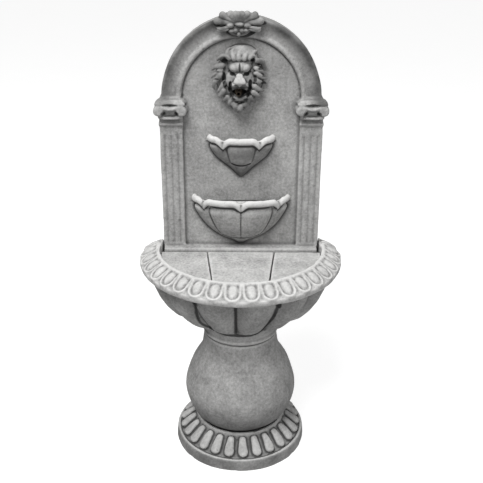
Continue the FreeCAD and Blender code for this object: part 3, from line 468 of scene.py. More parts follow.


# uneven skin, pits and chipped edges; marks where dirt and painted shade lie in creases and recesses and
# where edges are rubbed
def weather(block, grain, seed, rough=1.0, wash=1.0, hollowSpan=0.9, broadSpan=4.0, stain=None):
    mesh = block.data
    points = pointsOf(mesh)
    count = len(points)
    normal = np.empty(count * 3)
    mesh.vertex_normals.foreach_get("vector", normal)
    normal = normal.reshape(-1, 3)
    ends = np.empty(len(mesh.edges) * 2, dtype=np.int32)
    mesh.edges.foreach_get("vertices", ends)
    a, b = ends.reshape(-1, 2).T
    degree = np.maximum(np.bincount(a, minlength=count) + np.bincount(b, minlength=count), 1)

    def eased(values, rounds):
        for lap in range(rounds):
            near = np.stack([np.bincount(a, values[b, k], count) + np.bincount(b, values[a, k], count)
                             for k in range(3)], -1)
            values = 0.4 * values + 0.6 * near / degree[:, None]
        return values

    fineRounds = max(6, int(stoneSkin["easeRounds"] / grain ** 2))
    soft = eased(points, fineRounds)
    fine = ((soft - points) * normal).sum(1)
    softer = eased(soft, min(5 * fineRounds, 130))
    broadRecessShade = ((softer - points) * normal).sum(1)
    # dark wash and painted shade in small creases
    hollow = np.clip(fine / hollowSpan, 0, 1) * wash
    worn = np.clip(-fine / hollowSpan, 0, 1)
    pit = pitsAt(points, stoneSkin["pitSpacing"], seed, stoneSkin["pitChance"], stoneSkin["pitRadius"])
    shift = sum(depth * lattice(points, size, seed + k)
                for k, (size, depth) in enumerate(stoneSkin["unevenness"])) * rough
    shift -= stoneSkin["pitDepth"] * np.sqrt(pit) * rough
    chips = np.clip(lattice(points, stoneSkin["chipSize"], seed + 7) + 0.1, 0, 1)
    shift -= stoneSkin["chipDepth"] * rough * worn * chips
    placed = np.clip((points + normal * shift[:, None]) * mm, *np.array(cadBox)[:2])
    mesh.vertices.foreach_set("co", placed.ravel())
    # painted shade in broad recesses, standing in for ambient occlusion
    broadRecessShade = np.clip(broadRecessShade / broadSpan, 0, 1) * wash
    stained = stain(points) if stain else np.zeros(count)
    for name, values in zip(skinMarks, (hollow, worn, pit, broadRecessShade, np.zeros(count), stained)):
        mesh.attributes.new(name, "FLOAT", "POINT").data.foreach_set("value", values.astype(np.float32))
    mesh.polygons.foreach_set("use_smooth", np.ones(len(mesh.polygons), dtype=bool))
    mesh.update()


dentLook = {
    "deep": 24.0,       # how far behind the foremost point a dent still reaches
    "before": 6.0,      # how far in front of it the painted shade may lie
    "spill": 1.2,       # how far the painted shade spills over a dent's edge
    "fade": 0.3,        # share of the half size over which it fades
}


# presses dents into the front of a stone; each has its middle across and up, its half sizes,
# its depth and how dark the painted shade in it is
def dented(mesh, dents):
    points = pointsOf(mesh)
    marks = []
    for x, z, wide, tall, depth, dark in dents:
        away = np.hypot((points[:, 0] - x) / wide, (points[:, 2] - z) / tall)
        front = points[away < 1, 1].min()
        push = (away < 1) & (points[:, 1] < front + dentLook["deep"])
        points[push, 1] += depth * np.sqrt(1 - away[push] ** 2)
        marks.append((x, z, wide + dentLook["spill"], tall + dentLook["spill"], front, depth, dark))
    mesh.vertices.foreach_set("co", (points * mm).ravel())
    return marks


def shadeInDents(points, marks):
    darkening = np.zeros(len(points))
    for x, z, wide, tall, front, depth, dark in marks:
        away = np.hypot((points[:, 0] - x) / wide, (points[:, 2] - z) / tall)
        behind = points[:, 1] - front
        near = (behind > -dentLook["before"]) & (behind < depth + dentLook["deep"])
        darkening = np.maximum(darkening, np.where(near, dark * np.clip((1.1 - away) / dentLook["fade"], 0, 1), 0))
    return darkening


# row of small dents along a line given across and up
def groove(line, half, depth, dark):
    return [(x, z, half, half, depth, dark) for x, y, z in through([(x, 0, z) for x, z in line], 9)]


def fuse(block, grain, soften):
    melt = block.modifiers.new("fuse", "REMESH")
    melt.mode = "VOXEL"
    melt.voxel_size = grain * mm
    ease = block.modifiers.new("ease", "SMOOTH")
    ease.factor = 0.5
    ease.iterations = soften
    mesh = settled(block)
    block.modifiers.clear()
    block.data = mesh
    return mesh


stones = {}      # each finished stone under its node's name


def setIn(block, node, body, finish):
    block.data.materials.clear()
    block.data.materials.append(finish)
    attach(block, body)
    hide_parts(node)
    stones[node] = block
    print(node, "cast,", len(block.data.polygons), "faces")


# fuses the forms into one stone, weathers it and puts it in the node's place
def castStone(node, body, forms, grain, seed, soften=3, finish=stone, dents=(), **skin):
    block = newObject(node + "Stone", meshOf(node, joined(forms)))
    marks = dented(fuse(block, grain, 1), dents) if dents else ()
    mesh = fuse(block, grain, soften)
    # painted shade in the dents
    darkening = shadeInDents(pointsOf(mesh), marks)
    weather(block, grain, seed, **skin)
    mesh.attributes["jointDirtAndShade"].data.foreach_set("value", darkening.astype(np.float32))
    setIn(block, node, body, finish)


# painted shade with joint dirt on a stone where another one stands against it, up to some height; under the
# bowls and the crest it is a painted shadow
def markJointAndShade(name, other, reach, below=2000.0):
    points, near = pointsOf(stones[name].data), pointsOf(stones[other].data)
    tree = BVHTree.FromObject(stones[other], bpy.context.evaluated_depsgraph_get())
    close = ((points > near.min(0) - reach) & (points < near.max(0) + reach)).all(1) & (points[:, 2] < below)
    marks = stones[name].data.attributes["jointDirtAndShade"].data
    for k in np.flatnonzero(close).tolist():
        away = tree.find_nearest(Vector(points[k] * mm), reach * mm)[3]
        if away is not None:
            marks[k].value = max(marks[k].value, 1 - away / (reach * mm))


# plinth: turned rim, sloping dish, a ring of petals and the bead that the globe sits in
plinth = {
    "rim": ((42, 0), (206, 0), (209.5, 3), (207, 34), (205.5, 39), (202.5, 41.5), (200, 40), (198.5, 36.5),
            (188, 42), (150, 77), (145.5, 84), (144, 90), (142.5, 94), (138.5, 95.8), (134.5, 94),
            (133, 89.5), (62, 90), (62, 102), (42, 102)),
    "petals": 26,
    "turn": 3.0,
    "petalRun": ((145.5, 83.5), (158, 76), (172, 64.5), (184, 54), (195.5, 44.5)),     # radius, height
    "petalWide": (8.5, 11.5, 14.0, 15.8, 16.4),
    "petalHigh": (5.5, 7.5, 8.5, 9.0, 8.0),
    "petalLean": 0.75,
    "darkerBelow": 38.0,      # the rim is dirty below this
    "slot": ((-14, 0, -1), (14, 230, 22)),
}


# spreads given half sizes over a line; each end is drawn in to a round tip over a share of it
def tapered(sizes, line, first, last):
    sizes = np.atleast_1d(sizes)
    sizes = np.interp(np.linspace(0, 1, len(line)), np.linspace(0, 1, len(sizes)), sizes)
    step = np.r_[0, np.cumsum(np.linalg.norm(np.diff(line, axis=0), axis=1))]
    share = step / step[-1]
    for along, tip in ((share, first), (1 - share, last)):
        sizes = sizes * np.sqrt(np.clip(1 - (1 - np.clip(along / tip, 0, 1)) ** 2, 0.02, 1))
    return sizes


def plinthForms():
    forms = [carved(lathe(plinth["rim"], 120), [boxOf(*plinth["slot"])])]
    for k in range(plinth["petals"]):
        turn = math.radians(plinth["turn"] + 360 * k / plinth["petals"] - 90)
        out = np.array([math.cos(turn), math.sin(turn), 0])
        line = through([out * r + (0, 0, z) for r, z in plinth["petalRun"]], 7)
        up = unit(out * plinth["petalLean"] + (0, 0, 1))
        wide = tapered(plinth["petalWide"], line, 0.10, 0.26)
        high = tapered(plinth["petalHigh"], line, 0.06, 0.16)
        forms.append(sweep(line, wide, high, up, 14))
    return forms


def footStain(points):
    return np.where(points[:, 2] < plinth["darkerBelow"], 0.42 * (1 + 0.6 * lattice(points, 35.0, 8)), 0.03)


castStone("plinth", "stand", plinthForms(), 2.0, 11, soften=2, finish=stoneFoot, hollowSpan=1.1,
          stain=footStain)

# globe: the turned ball with its neck
globe = {
    "side": ((124, 90), (157.5, 128), (177, 200), (155.8, 280), (123.9, 338), (113, 398)),
    "sides": 300,
    "grain": 3.3,
    "core": ((62, 398), (62, 410), (42, 410), (42, 104), (64, 104), (64, 90)),
    "shadeRise": (88.0, 185.0),      # heights between which the painted shade at the foot fades
}


# painted shade: the globe darker towards its foot, where it faces down
def shadedFoot(points):
    low, high = globe["shadeRise"]
    share = np.clip((high - points[:, 2]) / (high - low), 0, 1)
    return share ** 1.4 * (1 + 0.4 * lattice(points, 30.0, 5))


side = through([(0, r, z) for r, z in globe["side"]], 22)[:, 1:]
ball = newObject("globeStone", meshOf("globe", lathe(np.vstack([side, globe["core"]]), globe["sides"])))
weather(ball, globe["grain"], 23, stain=shadedFoot)
setIn(ball, "globe", "stand", stoneBall)

# basin: the lobed bowl with its rim of eggs
basin = {
    "centreY": 115.0,
    "rimR": 320.0,
    "sideR": 158.0,
    "crestR": 272.0,
    "crestZ": 624.0,
    "shoulderZ": 597.0,
    "eggPitch": 10.5,
    "eggTurn": -4.4,
    "eggsLeft": 9,
    "eggsRight": 10,
    "ringHalf": 21.7,
    "ringThick": 3.7,
    "ringHigh": 4.4,
    "ringRaise": 1.2,
    "ringArms": (-34, -24, -12),      # down the slope from its middle
    "ringFoot": 24.0,
    "eggHalf": 15.0,
    "eggTop": -31.0,
    "eggFoot": 17.0,
    "eggRise": 9.0,
    # shield, seams and corners are given across and up
    "shield": ((-90, 446), (-76, 441), (-56, 438), (-30, 437), (4, 437), (34, 438), (54, 443), (67, 452)),
    "seams": (((-14, 555), (-14, 520), (-14, 480), (-14, 445)),
              ((-136, 550), (-131, 500), (-119, 468), (-92, 447)),
              ((112, 550), (105, 520), (94, 492), (66, 450))),
    "grooveHalf": 3.8,
    "corners": ((-135, 546, 8, 12, 0.3, 0.9), (113, 546, 8, 12, 0.3, 0.9)),
    "darkening": 0.30,
    "darkerBelow": 560.0,
}


# distance out to a point of the rim, measured as the CAD draws it
def rimReach(x, y):
    side = basin["rimR"] - basin["sideR"]
    behind = y - basin["centreY"]
    return np.where(behind <= 0, np.hypot(x, behind), side + np.hypot(np.abs(x) - side, behind))


# point on the rim at a radius, and the outward and sideways directions there
def rimFrame(radius, degrees):
    sideR, centreY = basin["sideR"], basin["centreY"]
    if abs(degrees) <= 90:
        turn = math.radians(degrees)
        out = np.array([math.sin(turn), -math.cos(turn), 0])
        spot = out * radius + (0, centreY, 0)
    else:
        sign = math.copysign(1, degrees)
        turn = math.radians(abs(degrees) - 90) * radius / sideR
        out = np.array([sign * math.cos(turn), math.sin(turn), 0])
        spot = np.array([sign * (radius - sideR + sideR * math.cos(turn)),
                         centreY + sideR * math.sin(turn), 0])
    return spot, out, np.array([-out[1], out[0], 0])


def basinForms():
    rimR, crestR, crestZ, shoulderZ = (basin[key] for key in ("rimR", "crestR", "crestZ", "shoulderZ"))
    slope = math.atan2(crestZ - shoulderZ, rimR - crestR)
    # the CAD's plain eggs are pressed flat, and fuller ones go in their place
    verts, faces = formOf(nodes["basin"].data)
    reach = rimReach(verts[:, 0], verts[:, 1])
    above = verts[:, 2] - shoulderZ
    over = (reach - rimR) * math.sin(slope) + above * math.cos(slope)
    raised = (reach > crestR - 2) & (reach < rimR + 6) & (above > -6) & (over > 0.1)
    verts[:, 2] -= np.where(raised, over, 0) / math.cos(slope)
    forms = [(verts, faces)]
    # outline of a ring, open at its top, across and down the slope
    half = basin["ringHalf"]
    bend = basin["ringFoot"] - half
    ring = [(-half, v) for v in basin["ringArms"]]
    ring += [(half * math.cos(t), bend - half * math.sin(t)) for t in np.linspace(math.pi, 2 * math.pi, 17)]
    ring += [(half, v) for v in reversed(basin["ringArms"])]
    middle = (basin["eggTop"] + basin["eggFoot"]) / 2
    length = (basin["eggFoot"] - basin["eggTop"]) / 2
    steps = np.linspace(-1, 1, 15)
    swell = np.sqrt(np.clip(1 - steps ** 2, 0.01, 1))
    wide = basin["eggHalf"] * swell * (1 - 0.10 * steps)
    for k in range(-basin["eggsLeft"], basin["eggsRight"] + 1):
        spot, out, aside = rimFrame((rimR + crestR) / 2, basin["eggTurn"] + k * basin["eggPitch"])
        spot = spot + (0, 0, (crestZ + shoulderZ) / 2)
        down = out * math.cos(slope) - np.array([0, 0, math.sin(slope)])
        up = out * math.sin(slope) + np.array([0, 0, math.cos(slope)])
        path = [spot + aside * u + down * v + up * basin["ringRaise"] for u, v in ring]
        forms.append(sweep(path, basin["ringThick"], basin["ringHigh"], up, 10))
        path = [spot + down * (middle + s * length) for s in steps]
        forms.append(sweep(path, wide, basin["eggRise"] * swell, up, 16))
    return forms


# grooves round the two front lobes and up their seams, with painted shade in them and at the tops of the
# outer seams
def basinDents():
    half = basin["grooveHalf"]
    dents = groove(basin["shield"], half, 1.2, 0.9)
    for line in basin["seams"]:
        dents += groove(line, half, 0.5, 0.8)
    return dents + list(basin["corners"])


# painted shade under the rim, darker below a height
def underRim(points):
    darkening = basin["darkening"] * (1 + 0.6 * lattice(points, 45.0, 9))
    return np.where(points[:, 2] < basin["darkerBelow"], darkening, 0)


castStone("basin", "stand", basinForms(), 2.5, 31, soften=2, finish=stoneBasin, dents=basinDents(),
          wash=0.6, hollowSpan=1.3, stain=underRim)

for name, body, seed in (("cover_plate_left", "left_plate", 41), ("cover_plate_centre", "centre_plate", 43),
                         ("cover_plate_right", "right_plate", 47)):
    castStone(name, body, [formOf(nodes[name].data)], 2.5, seed, soften=2, finish=stonePlatesLit, rough=0.8)

# bowls: deep lobes with shield fronts, under thick lips that hang to a point at each seam
upperBowl = {
    "node": "upper_bowl",
    "half": 105.0,
    "reach": 60.0,
    "lipZ": 985.0,
    "floorZ": 925.0,
    "notches": (-38.0, 38.0),
    "shade": 0.42,      # painted shade under the lip
    "sides": ((0.04, 849), (0.14, 860), (0.26, 873), (0.36, 883), (0.46, 892), (0.60, 904), (0.74, 917),
              (0.84, 932), (0.92, 952), (0.86, 962)),     # share of the full size, height
    "front": ((0.04, 849), (0.16, 864), (0.30, 880), (0.38, 889), (0.50, 896), (0.66, 906), (0.76, 922),
              (0.84, 940), (0.88, 954), (0.86, 962)),
    "seams": (-33.0, 33.0),
    "chin": ((-27, 898), (-14, 893), (0, 891), (14, 893), (27, 898)),     # line under the shield
    "seam": 0.17,
}
middleBowl = {
    "node": "middle_bowl",
    "half": 156.0,
    "reach": 78.0,
    "lipZ": 791.0,
    "floorZ": 705.0,
    "notches": (-57.0, 0.0, 57.0),
    "shade": 0.12,
    "sides": ((0.04, 624), (0.16, 634), (0.28, 643), (0.38, 650), (0.50, 661), (0.64, 679), (0.76, 700),
              (0.87, 727), (0.94, 752), (0.87, 768)),
    "front": ((0.04, 624), (0.18, 636), (0.28, 646), (0.34, 651), (0.48, 657), (0.62, 672), (0.73, 692),
              (0.83, 718), (0.90, 745), (0.87, 767)),
    "seams": (-50.0, 0.0, 50.0),
    "chin": ((-56, 661), (-28, 652), (0, 649), (28, 652), (56, 661)),
    "seam": 0.13,
}
lip = {
    "inset": 9.0,
    "thick": 9.0,
    "tall": 11.0,
    "notchIn": 0.92,
    "hang": 22.0,       # how far the lip drops at a seam
    "run": 25.0,        # length over which it drops
    "seamThick": 5.5,
    "seamTall": 8.0,
}
bowlShell = {
    "blend": 5.0,         # degrees over which the front outline gives way to the side one
    "wall": 14.0,
    "topDrop": 10.0,      # below the lip
    "backDrop": 25.0,
    "hollowDrop": 45.0,
    "inPanel": 1.5,
    "offPanel": 16.0,     # where the hollow ends
}
panelY = 160.0


# 1 on the lobes, falling to 0 in the seams between them
def lobeSwell(turns, notches, power=2.6):
    ends = (-90.0, *notches, 90.0)
    swell = np.ones(len(turns))
    for k, (a, b) in enumerate(zip(ends, ends[1:])):
        inside = (turns >= a) & (turns <= b)
        share = (turns[inside] - a) / (b - a)
        share = 0.5 + share / 2 if k == 0 else share / 2 if k == len(ends) - 2 else share
        swell[inside] = np.sqrt(np.clip(1 - np.abs(2 * share - 1) ** power, 0, 1))
    return swell


def bowlBody(facts):
    turns = np.linspace(-90, 90, 181)
    across, ahead = np.sin(np.radians(turns)), np.cos(np.radians(turns))
    low, high = facts["seams"][0], facts["seams"][-1]
    blend = bowlShell["blend"]
    front = np.clip((turns - low) / blend + 0.5, 0, 1) * np.clip((high - turns) / blend + 0.5, 0, 1)
    pinch = 1 - facts["seam"] * (1 - lobeSwell(turns, facts["seams"], 2.0))
    topZ, backZ, hollowZ = (facts["lipZ"] - bowlShell[key] for key in ("topDrop", "backDrop", "hollowDrop"))
    fixed, hollow = panelY + bowlShell["inPanel"], panelY - bowlShell["offPanel"]

    def ring(share, z, furthest):
        x = facts["half"] * across * share
        y = np.minimum(panelY - facts["reach"] * ahead * share, furthest)
        arc = np.stack([x, y, np.broadcast_to(z, x.shape)], -1)
        backX = np.linspace(x[-1], x[0], 60)[1:-1]
        back = np.stack([backX, np.full(58, furthest), np.full(58, min(arc[0, 2], backZ))], -1)
        return np.vstack([arc, back])

    rings = []
    sides, fronts = (through([(0, *p) for p in facts[key]], 4)[:, 1:] for key in ("sides", "front"))
    for (sideShare, sideZ), (frontShare, frontZ) in zip(sides, fronts):
        share = (sideShare + (frontShare - sideShare) * front) * pinch
        rings.append(ring(share, sideZ + (frontZ - sideZ) * front, fixed))
    wall = 1 - bowlShell["wall"] / facts["reach"]
    for share, z, furthest in ((0.88, topZ, fixed), (wall, topZ, fixed), (wall, backZ, fixed),
                               (wall, backZ - 0.5, hollow), (wall - 0.08, hollowZ, hollow),
                               (0.45, facts["floorZ"], hollow)):
        rings.append(ring(share, z, furthest))
    return ringStack(rings)


def lipForms(facts):
    forms = []
    ends = (-90.0, *facts["notches"], 90.0)
    for k, (a, b) in enumerate(zip(ends, ends[1:])):
        turns = np.linspace(a, b, 41)
        swell = lobeSwell(turns, facts["notches"])
        share = lip["notchIn"] + (1 - lip["notchIn"]) * swell
        x = (facts["half"] - lip["inset"]) * np.sin(np.radians(turns)) * share
        y = panelY - (facts["reach"] - lip["inset"]) * np.cos(np.radians(turns)) * share
        step = np.r_[0, np.cumsum(np.hypot(np.diff(x), np.diff(y)))]
        near = np.full(41, 1e3)
        if k > 0:
            near = np.minimum(near, step)
        if k < len(ends) - 2:
            near = np.minimum(near, step[-1] - step)
        hang = np.clip(1 - near / lip["run"], 0, 1) ** 1.7
        z = facts["lipZ"] - lip["tall"] - lip["hang"] * hang
        thick = lip["thick"] + (lip["seamThick"] - lip["thick"]) * hang
        tall = lip["tall"] + (lip["seamTall"] - lip["tall"]) * hang
        forms.append(sweep(np.stack([x, y, z], -1), thick, tall, (0, 0, 1), 18))
        facts["under"] = facts.get("under", []) + list(zip(x, z - tall))
    return forms


# painted shade below the lip, and a painted shadow line just under its front
def underLip(facts):
    def stain(points):
        under = np.interp(points[:, 0], *zip(*facts["under"])) - points[:, 2]      # distance below the lip
        shade = facts["shade"] * np.clip(under / 6, 0, 1) * (1 + 0.5 * lattice(points, 30.0, 6))
        line = np.clip(1.4 - np.abs(under - 1.5) / 4, 0, 1)
        return shade + np.where(points[:, 1] < panelY - 5, line, 0)
    return stain


# painted shade in a groove along each chin, under the shield
for facts, seed in ((upperBowl, 61), (middleBowl, 67)):
    castStone(facts["node"], "stand", [bowlBody(facts)] + lipForms(facts), 1.7, seed, rough=0.7,
              dents=groove(facts["chin"], 3.0, 2.0, 0.9), stain=underLip(facts))

# panel: the CAD's slab with the finer carving of its two capitals
capital = {
    "x": 213.0,
    "scrollX": 35.0,
    "scrollZ": 1064.0,
    "scrollR": 15.5,
    "scrollY": 121.5,
    "scrollDisc": ((-15.4, 8), (-2, 8), (0, 5), (0, -30), (-15.4, -30)),      # radius over scrollR, height
    "scrollTurns": 1.6,
    "bars": (      # line, half width, half height
        (((-26, 123, 1077), (-13, 121.5, 1071.5), (0, 121, 1069.5), (13, 121.5, 1071.5), (26, 123, 1077)),
         4.6, 5.0),
        (((-37, 136, 1042.5), (-18, 133.5, 1040.5), (0, 132.5, 1040), (18, 133.5, 1040.5), (37, 136, 1042.5)),
         4.6, 4.6),
        (((-31, 149, 1100), (31, 149, 1100)), 3.6, 3.6),
    ),
    # dents with painted shade in the gap under the abacus and beside the scrolls
    "dents": ((0, 1081, 26, 4, 8, 0.45), (-20, 1056, 7, 6, 8, 0.6), (20, 1056, 7, 6, 8, 0.6)),
}


def spiralLine(centre, radius, turns, direction):
    share = np.linspace(0, 1, 60)
    turn = math.pi / 2 + direction * share * turns * 2 * math.pi
    grown = radius * (1 - share) ** 0.75
    return centre + np.stack([grown * np.cos(turn), np.zeros(60), grown * np.sin(turn)], -1)


def capitalForms(side):
    forms = []
    for k in (-1, 1):
        centre = (side * capital["x"] + k * capital["scrollX"], capital["scrollY"], capital["scrollZ"])
        points, faces = lathe([(capital["scrollR"] + r, z) for r, z in capital["scrollDisc"]], 40)
        forms.append((points[:, [0, 2, 1]] * (1, -1, 1) + centre + (0, 6, 0), faces))
        spiral = spiralLine(np.add(centre, (0, -2.0, 0)), capital["scrollR"] - 2.2, capital["scrollTurns"], k)
        forms.append(sweep(spiral, 1.9, 2.4, (0, -1, 0), 8))
    for line, wide, high in capital["bars"]:
        forms.append(sweep(through(line) + (side * capital["x"], 0, 0), wide, high, (0, 0, 1), 12))
    return forms


panel = {
    "archZ": 1096.0,
    "archR": (176.0, 195.0, 234.0),      # inner edge, and where the painted shade on it starts and is darkest
    "archFoot": 1080.0,
    "archFront": 165.0,
    "archShadeRange": (0.154, 0.70),      # least and most
    "flatShadeRange": (0.11, 0.29),       # at the foot and at the top
    "flatRise": (1050.0, 1200.0),
    "underCrest": ((-38, 1293), (-22, 1285), (-3, 1281), (18, 1283), (36, 1292)),
    "besideCrest": ((-70, 1313, 9, 6, 0.5, 1.0), (63, 1317, 9, 5, 0.5, 0.9)),
}


# painted shade: the outer cove of the arch darker, and the flat panel darker towards its top
def archShade(points):
    inner, start, full = panel["archR"]
    radius = np.hypot(points[:, 0], points[:, 2] - panel["archZ"])
    share = np.clip((radius - start) / (full - start), 0, 1)
    arch = np.interp(share * share * (3 - 2 * share), (0, 1), panel["archShadeRange"])
    onArch = (points[:, 2] > panel["archFoot"]) & (points[:, 1] < panel["archFront"]) & (radius > inner)
    flat = np.interp(points[:, 2], panel["flatRise"], panel["flatShadeRange"])
    return np.where(onArch, arch * (1 + 0.5 * lattice(points, 40.0, 3)), flat)


panelForms = [formOf(nodes["back_panel"].data)] + capitalForms(-1) + capitalForms(1)
panelDents = [(side * capital["x"] + x, *rest) for side in (-1, 1) for x, *rest in capital["dents"]]
# a painted shadow under the crest and painted shade beside it
panelDents += groove(panel["underCrest"], 4.5, 0.5, 1.0) + list(panel["besideCrest"])
castStone("back_panel", "stand", panelForms, 2.3, 53, soften=5, finish=stonePanel, dents=panelDents,
          rough=0.9, wash=0.75, hollowSpan=1.8, broadSpan=6.0, stain=archShade)

# lion: sizes are measured across, out from the panel and up, from the middle of the mask
lion = {
    "middle": (-8.0, 160.0, 1153.0),
    "lumps": (      # centre, half sizes, tilt sideways
        ((3, 0, 8), (70, 32, 80), 0), ((9, 8, 76), (45, 36, 27), 0), ((-9, 26, 74), (24, 18, 19), 12),
        ((27, 22, 76), (20, 18, 15), -20), ((3, 6, 4), (37, 42, 56), 0), ((3, 16, 44), (36, 35, 22), 0),
        ((3, 22, 56), (36, 20, 12), 0),
        ((-13, 33, 41), (15, 18, 14), 14), ((19, 33, 41), (15, 18, 14), -14), ((3, 43, 4), (15, 24, 20), 0),
        ((-11, 45, -9), (13, 18, 9), 0), ((17, 45, -9), (13, 18, 9), 0),
        ((-22, 26, 4), (16, 14, 26), 0), ((28, 26, 4), (16, 14, 26), 0),
        ((3, 34, -50), (25, 20, 10), 0), ((-12, 33, -67), (12, 14, 10), 0), ((2, 35, -77), (13, 14, 12), 0),
        ((17, 32, -66), (12, 14, 11), 0), ((28, 27, -56), (10, 13, 10), 0), ((-24, 28, -58), (10, 13, 10), 0),
        ((-61, 14, 41), (10, 13, 8), 0), ((66, 13, 56), (11, 12, 8), 0), ((-42, 16, 66), (18, 14, 11), 0),
        ((40, 20, 70), (15, 14, 10), 0),
    ),
    "ridges": (     # line, half width, half height
        (((2.5, 47, 26), (2.5, 55, 18), (3, 63, 11), (3, 67, 4), (3, 67, -3)), (8, 12, 16, 20, 20),
         (5, 7, 8, 8, 6)),
        (((-20, 42, -38), (-11, 47, -46), (3, 49, -49), (17, 47, -46), (26, 42, -38)), 4.4, 5.0),
        (((-64, 22, 58), (-56, 28, 68), (-44, 32, 74), (-31, 35, 72), (-20, 36, 62)), 4.4, 5.5),
        (((27, 36, 66), (34, 35, 75), (44, 32, 75), (52, 27, 64)), 4.2, 5.0),
    ),
    "dents": (      # middle across and up, half sizes, depth, darkness of the painted shade in it
        (-26, 28, 5, 3.5, 4, 0.6), (-18, 23, 7.5, 5, 7, 0.95), (-11, 20, 4, 3, 4, 0.6),
        (31, 28, 5, 3.5, 4, 0.6), (23, 23, 8, 5.4, 8, 1.0), (16, 20, 4, 3, 4, 0.6),
        (3, 41, 2.6, 15, 4, 0.75), (-10, -13, 12, 8, 0.5, 0.7), (16, -13, 12, 8, 0.5, 0.7),
        (-23, 6, 10, 16, 0.3, 0.35), (29, 6, 10, 16, 0.3, 0.35),
        (-6, -13, 5, 3, 4, 0.6), (12, -13, 5, 3, 4, 0.6), (3, -31, 20.5, 11.5, 30, 1.0),
        (-24, -8, 4.5, 10, 8, 0.95), (-25, -23, 5.5, 11, 10, 1.0), (-20, -37, 6, 9, 8, 1.0),
        (34, -4, 5, 11, 8, 0.95), (33, -19, 5.5, 11, 10, 1.0), (28, -34, 6, 10, 9, 1.0),
        (-15, -50, 6, 4, 5, 0.7), (-3, -58, 8, 3, 5, 0.7), (10, -58, 8, 3, 5, 0.7), (21, -51, 6, 4, 5, 0.7),
        (-40, 61, 9, 5.5, 9, 0.95), (-51, 57, 7, 3.5, 5, 0.5), (41, 62, 7, 6, 9, 0.9),
        (-43, 8, 6, 17, 8, 0.7), (-40, -8, 5, 10, 8, 0.6), (49, 8, 5, 12, 8, 0.7),
        (74, -7, 8, 5, 8, 1.0), (68, 36, 11, 4, 6, 0.7), (78, 14, 9, 3.2, 6, 0.7), (60, 46, 8, 3, 5, 0.5),
        (-66, 27, 10, 2.5, 4, 0.5), (-66, 5, 9, 3, 4, 0.5),
    ),
    "locks": (      # line from root to tip, half width
        (((-40, 30, 48), (-56, 28, 44), (-70, 20, 38), (-80, 10, 26)), 9.0),
        (((-45, 29, 35), (-60, 25, 26), (-74, 17, 15), (-83, 8, 2)), 7.5),
        (((-47, 30, 24), (-59, 27, 12), (-70, 22, -4), (-74, 14, -20), (-69, 8, -31)), 9.0),
        (((-38, 32, 2), (-48, 30, -14), (-58, 24, -28), (-66, 12, -40)), 8.5),
        (((-40, 32, -22), (-48, 29, -34), (-55, 22, -45), (-56, 12, -56)), 8.5),
        (((-28, 34, -42), (-35, 30, -50), (-41, 22, -59), (-40, 12, -70)), 8.5),
        (((44, 30, 60), (57, 28, 60), (69, 20, 53), (79, 10, 42)), 9.0),
        (((44, 30, 42), (58, 26, 34), (71, 18, 26), (85, 8, 18)), 7.5),
        (((45, 30, 25), (60, 26, 17), (74, 18, 8), (88, 8, 3)), 8.0),
        (((42, 31, 8), (56, 28, 0), (70, 20, -6), (84, 10, -10)), 8.0),
        (((40, 32, -10), (54, 28, -20), (67, 20, -28), (78, 10, -33)), 8.5),
        (((38, 32, -28), (50, 28, -38), (61, 20, -46), (68, 10, -54)), 8.5),
        (((28, 34, -42), (37, 30, -52), (46, 22, -60), (52, 10, -68)), 8.5),
        (((-22, 30, 62), (-31, 32, 73), (-33, 25, 86), (-24, 12, 96)), 9.5),
        (((-8, 36, 61), (-15, 40, 73), (-17, 33, 87), (-6, 16, 99)), 9.0),
        (((3, 37, 60), (0, 42, 74), (5, 34, 89), (16, 16, 100)), 9.0),
        (((14, 36, 61), (17, 41, 73), (26, 32, 87), (37, 14, 96)), 9.0),
        (((27, 32, 63), (34, 35, 73), (45, 25, 84), (57, 10, 88)), 9.0),
        (((-8, 42, -64), (-12, 42, -76), (-8, 32, -90), (-2, 18, -98)), 6.5),
        (((6, 44, -64), (7, 42, -76), (4, 32, -88), (-2, 20, -96)), 6.5),
        (((22, 38, -62), (24, 34, -72), (18, 26, -82), (10, 16, -90)), 6.5),
        (((-24, 36, -58), (-27, 32, -68), (-22, 26, -78), (-14, 16, -86)), 6.5),
    ),
    "strandShare": 0.30,
    "darkening": 0.46,
    "cleanTop": 1143.0,     # the face is clean above this
    "cleanOut": (36, 54),   # and this far out, from dirty to clean
}


def onMask(where):
    return np.asarray(where, float) * (1, -1, 1) + lion["middle"]


# lock of hair: a tapering body with three strands on top
def lockForms(line, wide):
    path = through(onMask(line))
    share = np.linspace(0, 1, len(path))
    body = wide * np.sqrt(np.clip(share / 0.15, 0.15, 1)) * (1 - share) ** 0.6 + 0.8
    forms = [sweep(path, body, body * 0.85, (0, -1, 0), 12)]
    along = unit(np.gradient(path, axis=0))
    across = unit(np.cross(along, (0, -1, 0)))
    for k in (-1, 0, 1):
        outwards = np.array((0, -1, 0)) * (body * (0.62 - 0.16 * abs(k)))[:, None]
        offset = across * (0.55 * k * body)[:, None] + outwards
        forms.append(sweep(path + offset, body * lion["strandShare"], body * 0.32, (0, -1, 0), 8))
    return forms


def lionForms():
    forms = [blob(onMask(centre), half, tilt) for centre, half, tilt in lion["lumps"]]
    for line, wide, high in lion["ridges"]:
        path = through(onMask(line))
        wide, high = (tapered(sizes, path, 0.15, 0.15) for sizes in (wide, high))
        forms.append(sweep(path, wide, high, (0, -1, 0.3), 12))
    for line, wide in lion["locks"]:
        forms += lockForms(line, wide)
    return forms


# the face is rubbed clean where it stands out, the mane stays darker
def maneStain(points):
    clean = np.interp(lion["middle"][1] - points[:, 1], lion["cleanOut"], (0, 1))
    clean *= points[:, 2] > lion["cleanTop"]
    return lion["darkening"] * (1 - clean) * (1 + 0.7 * lattice(points, 22.0, 2))


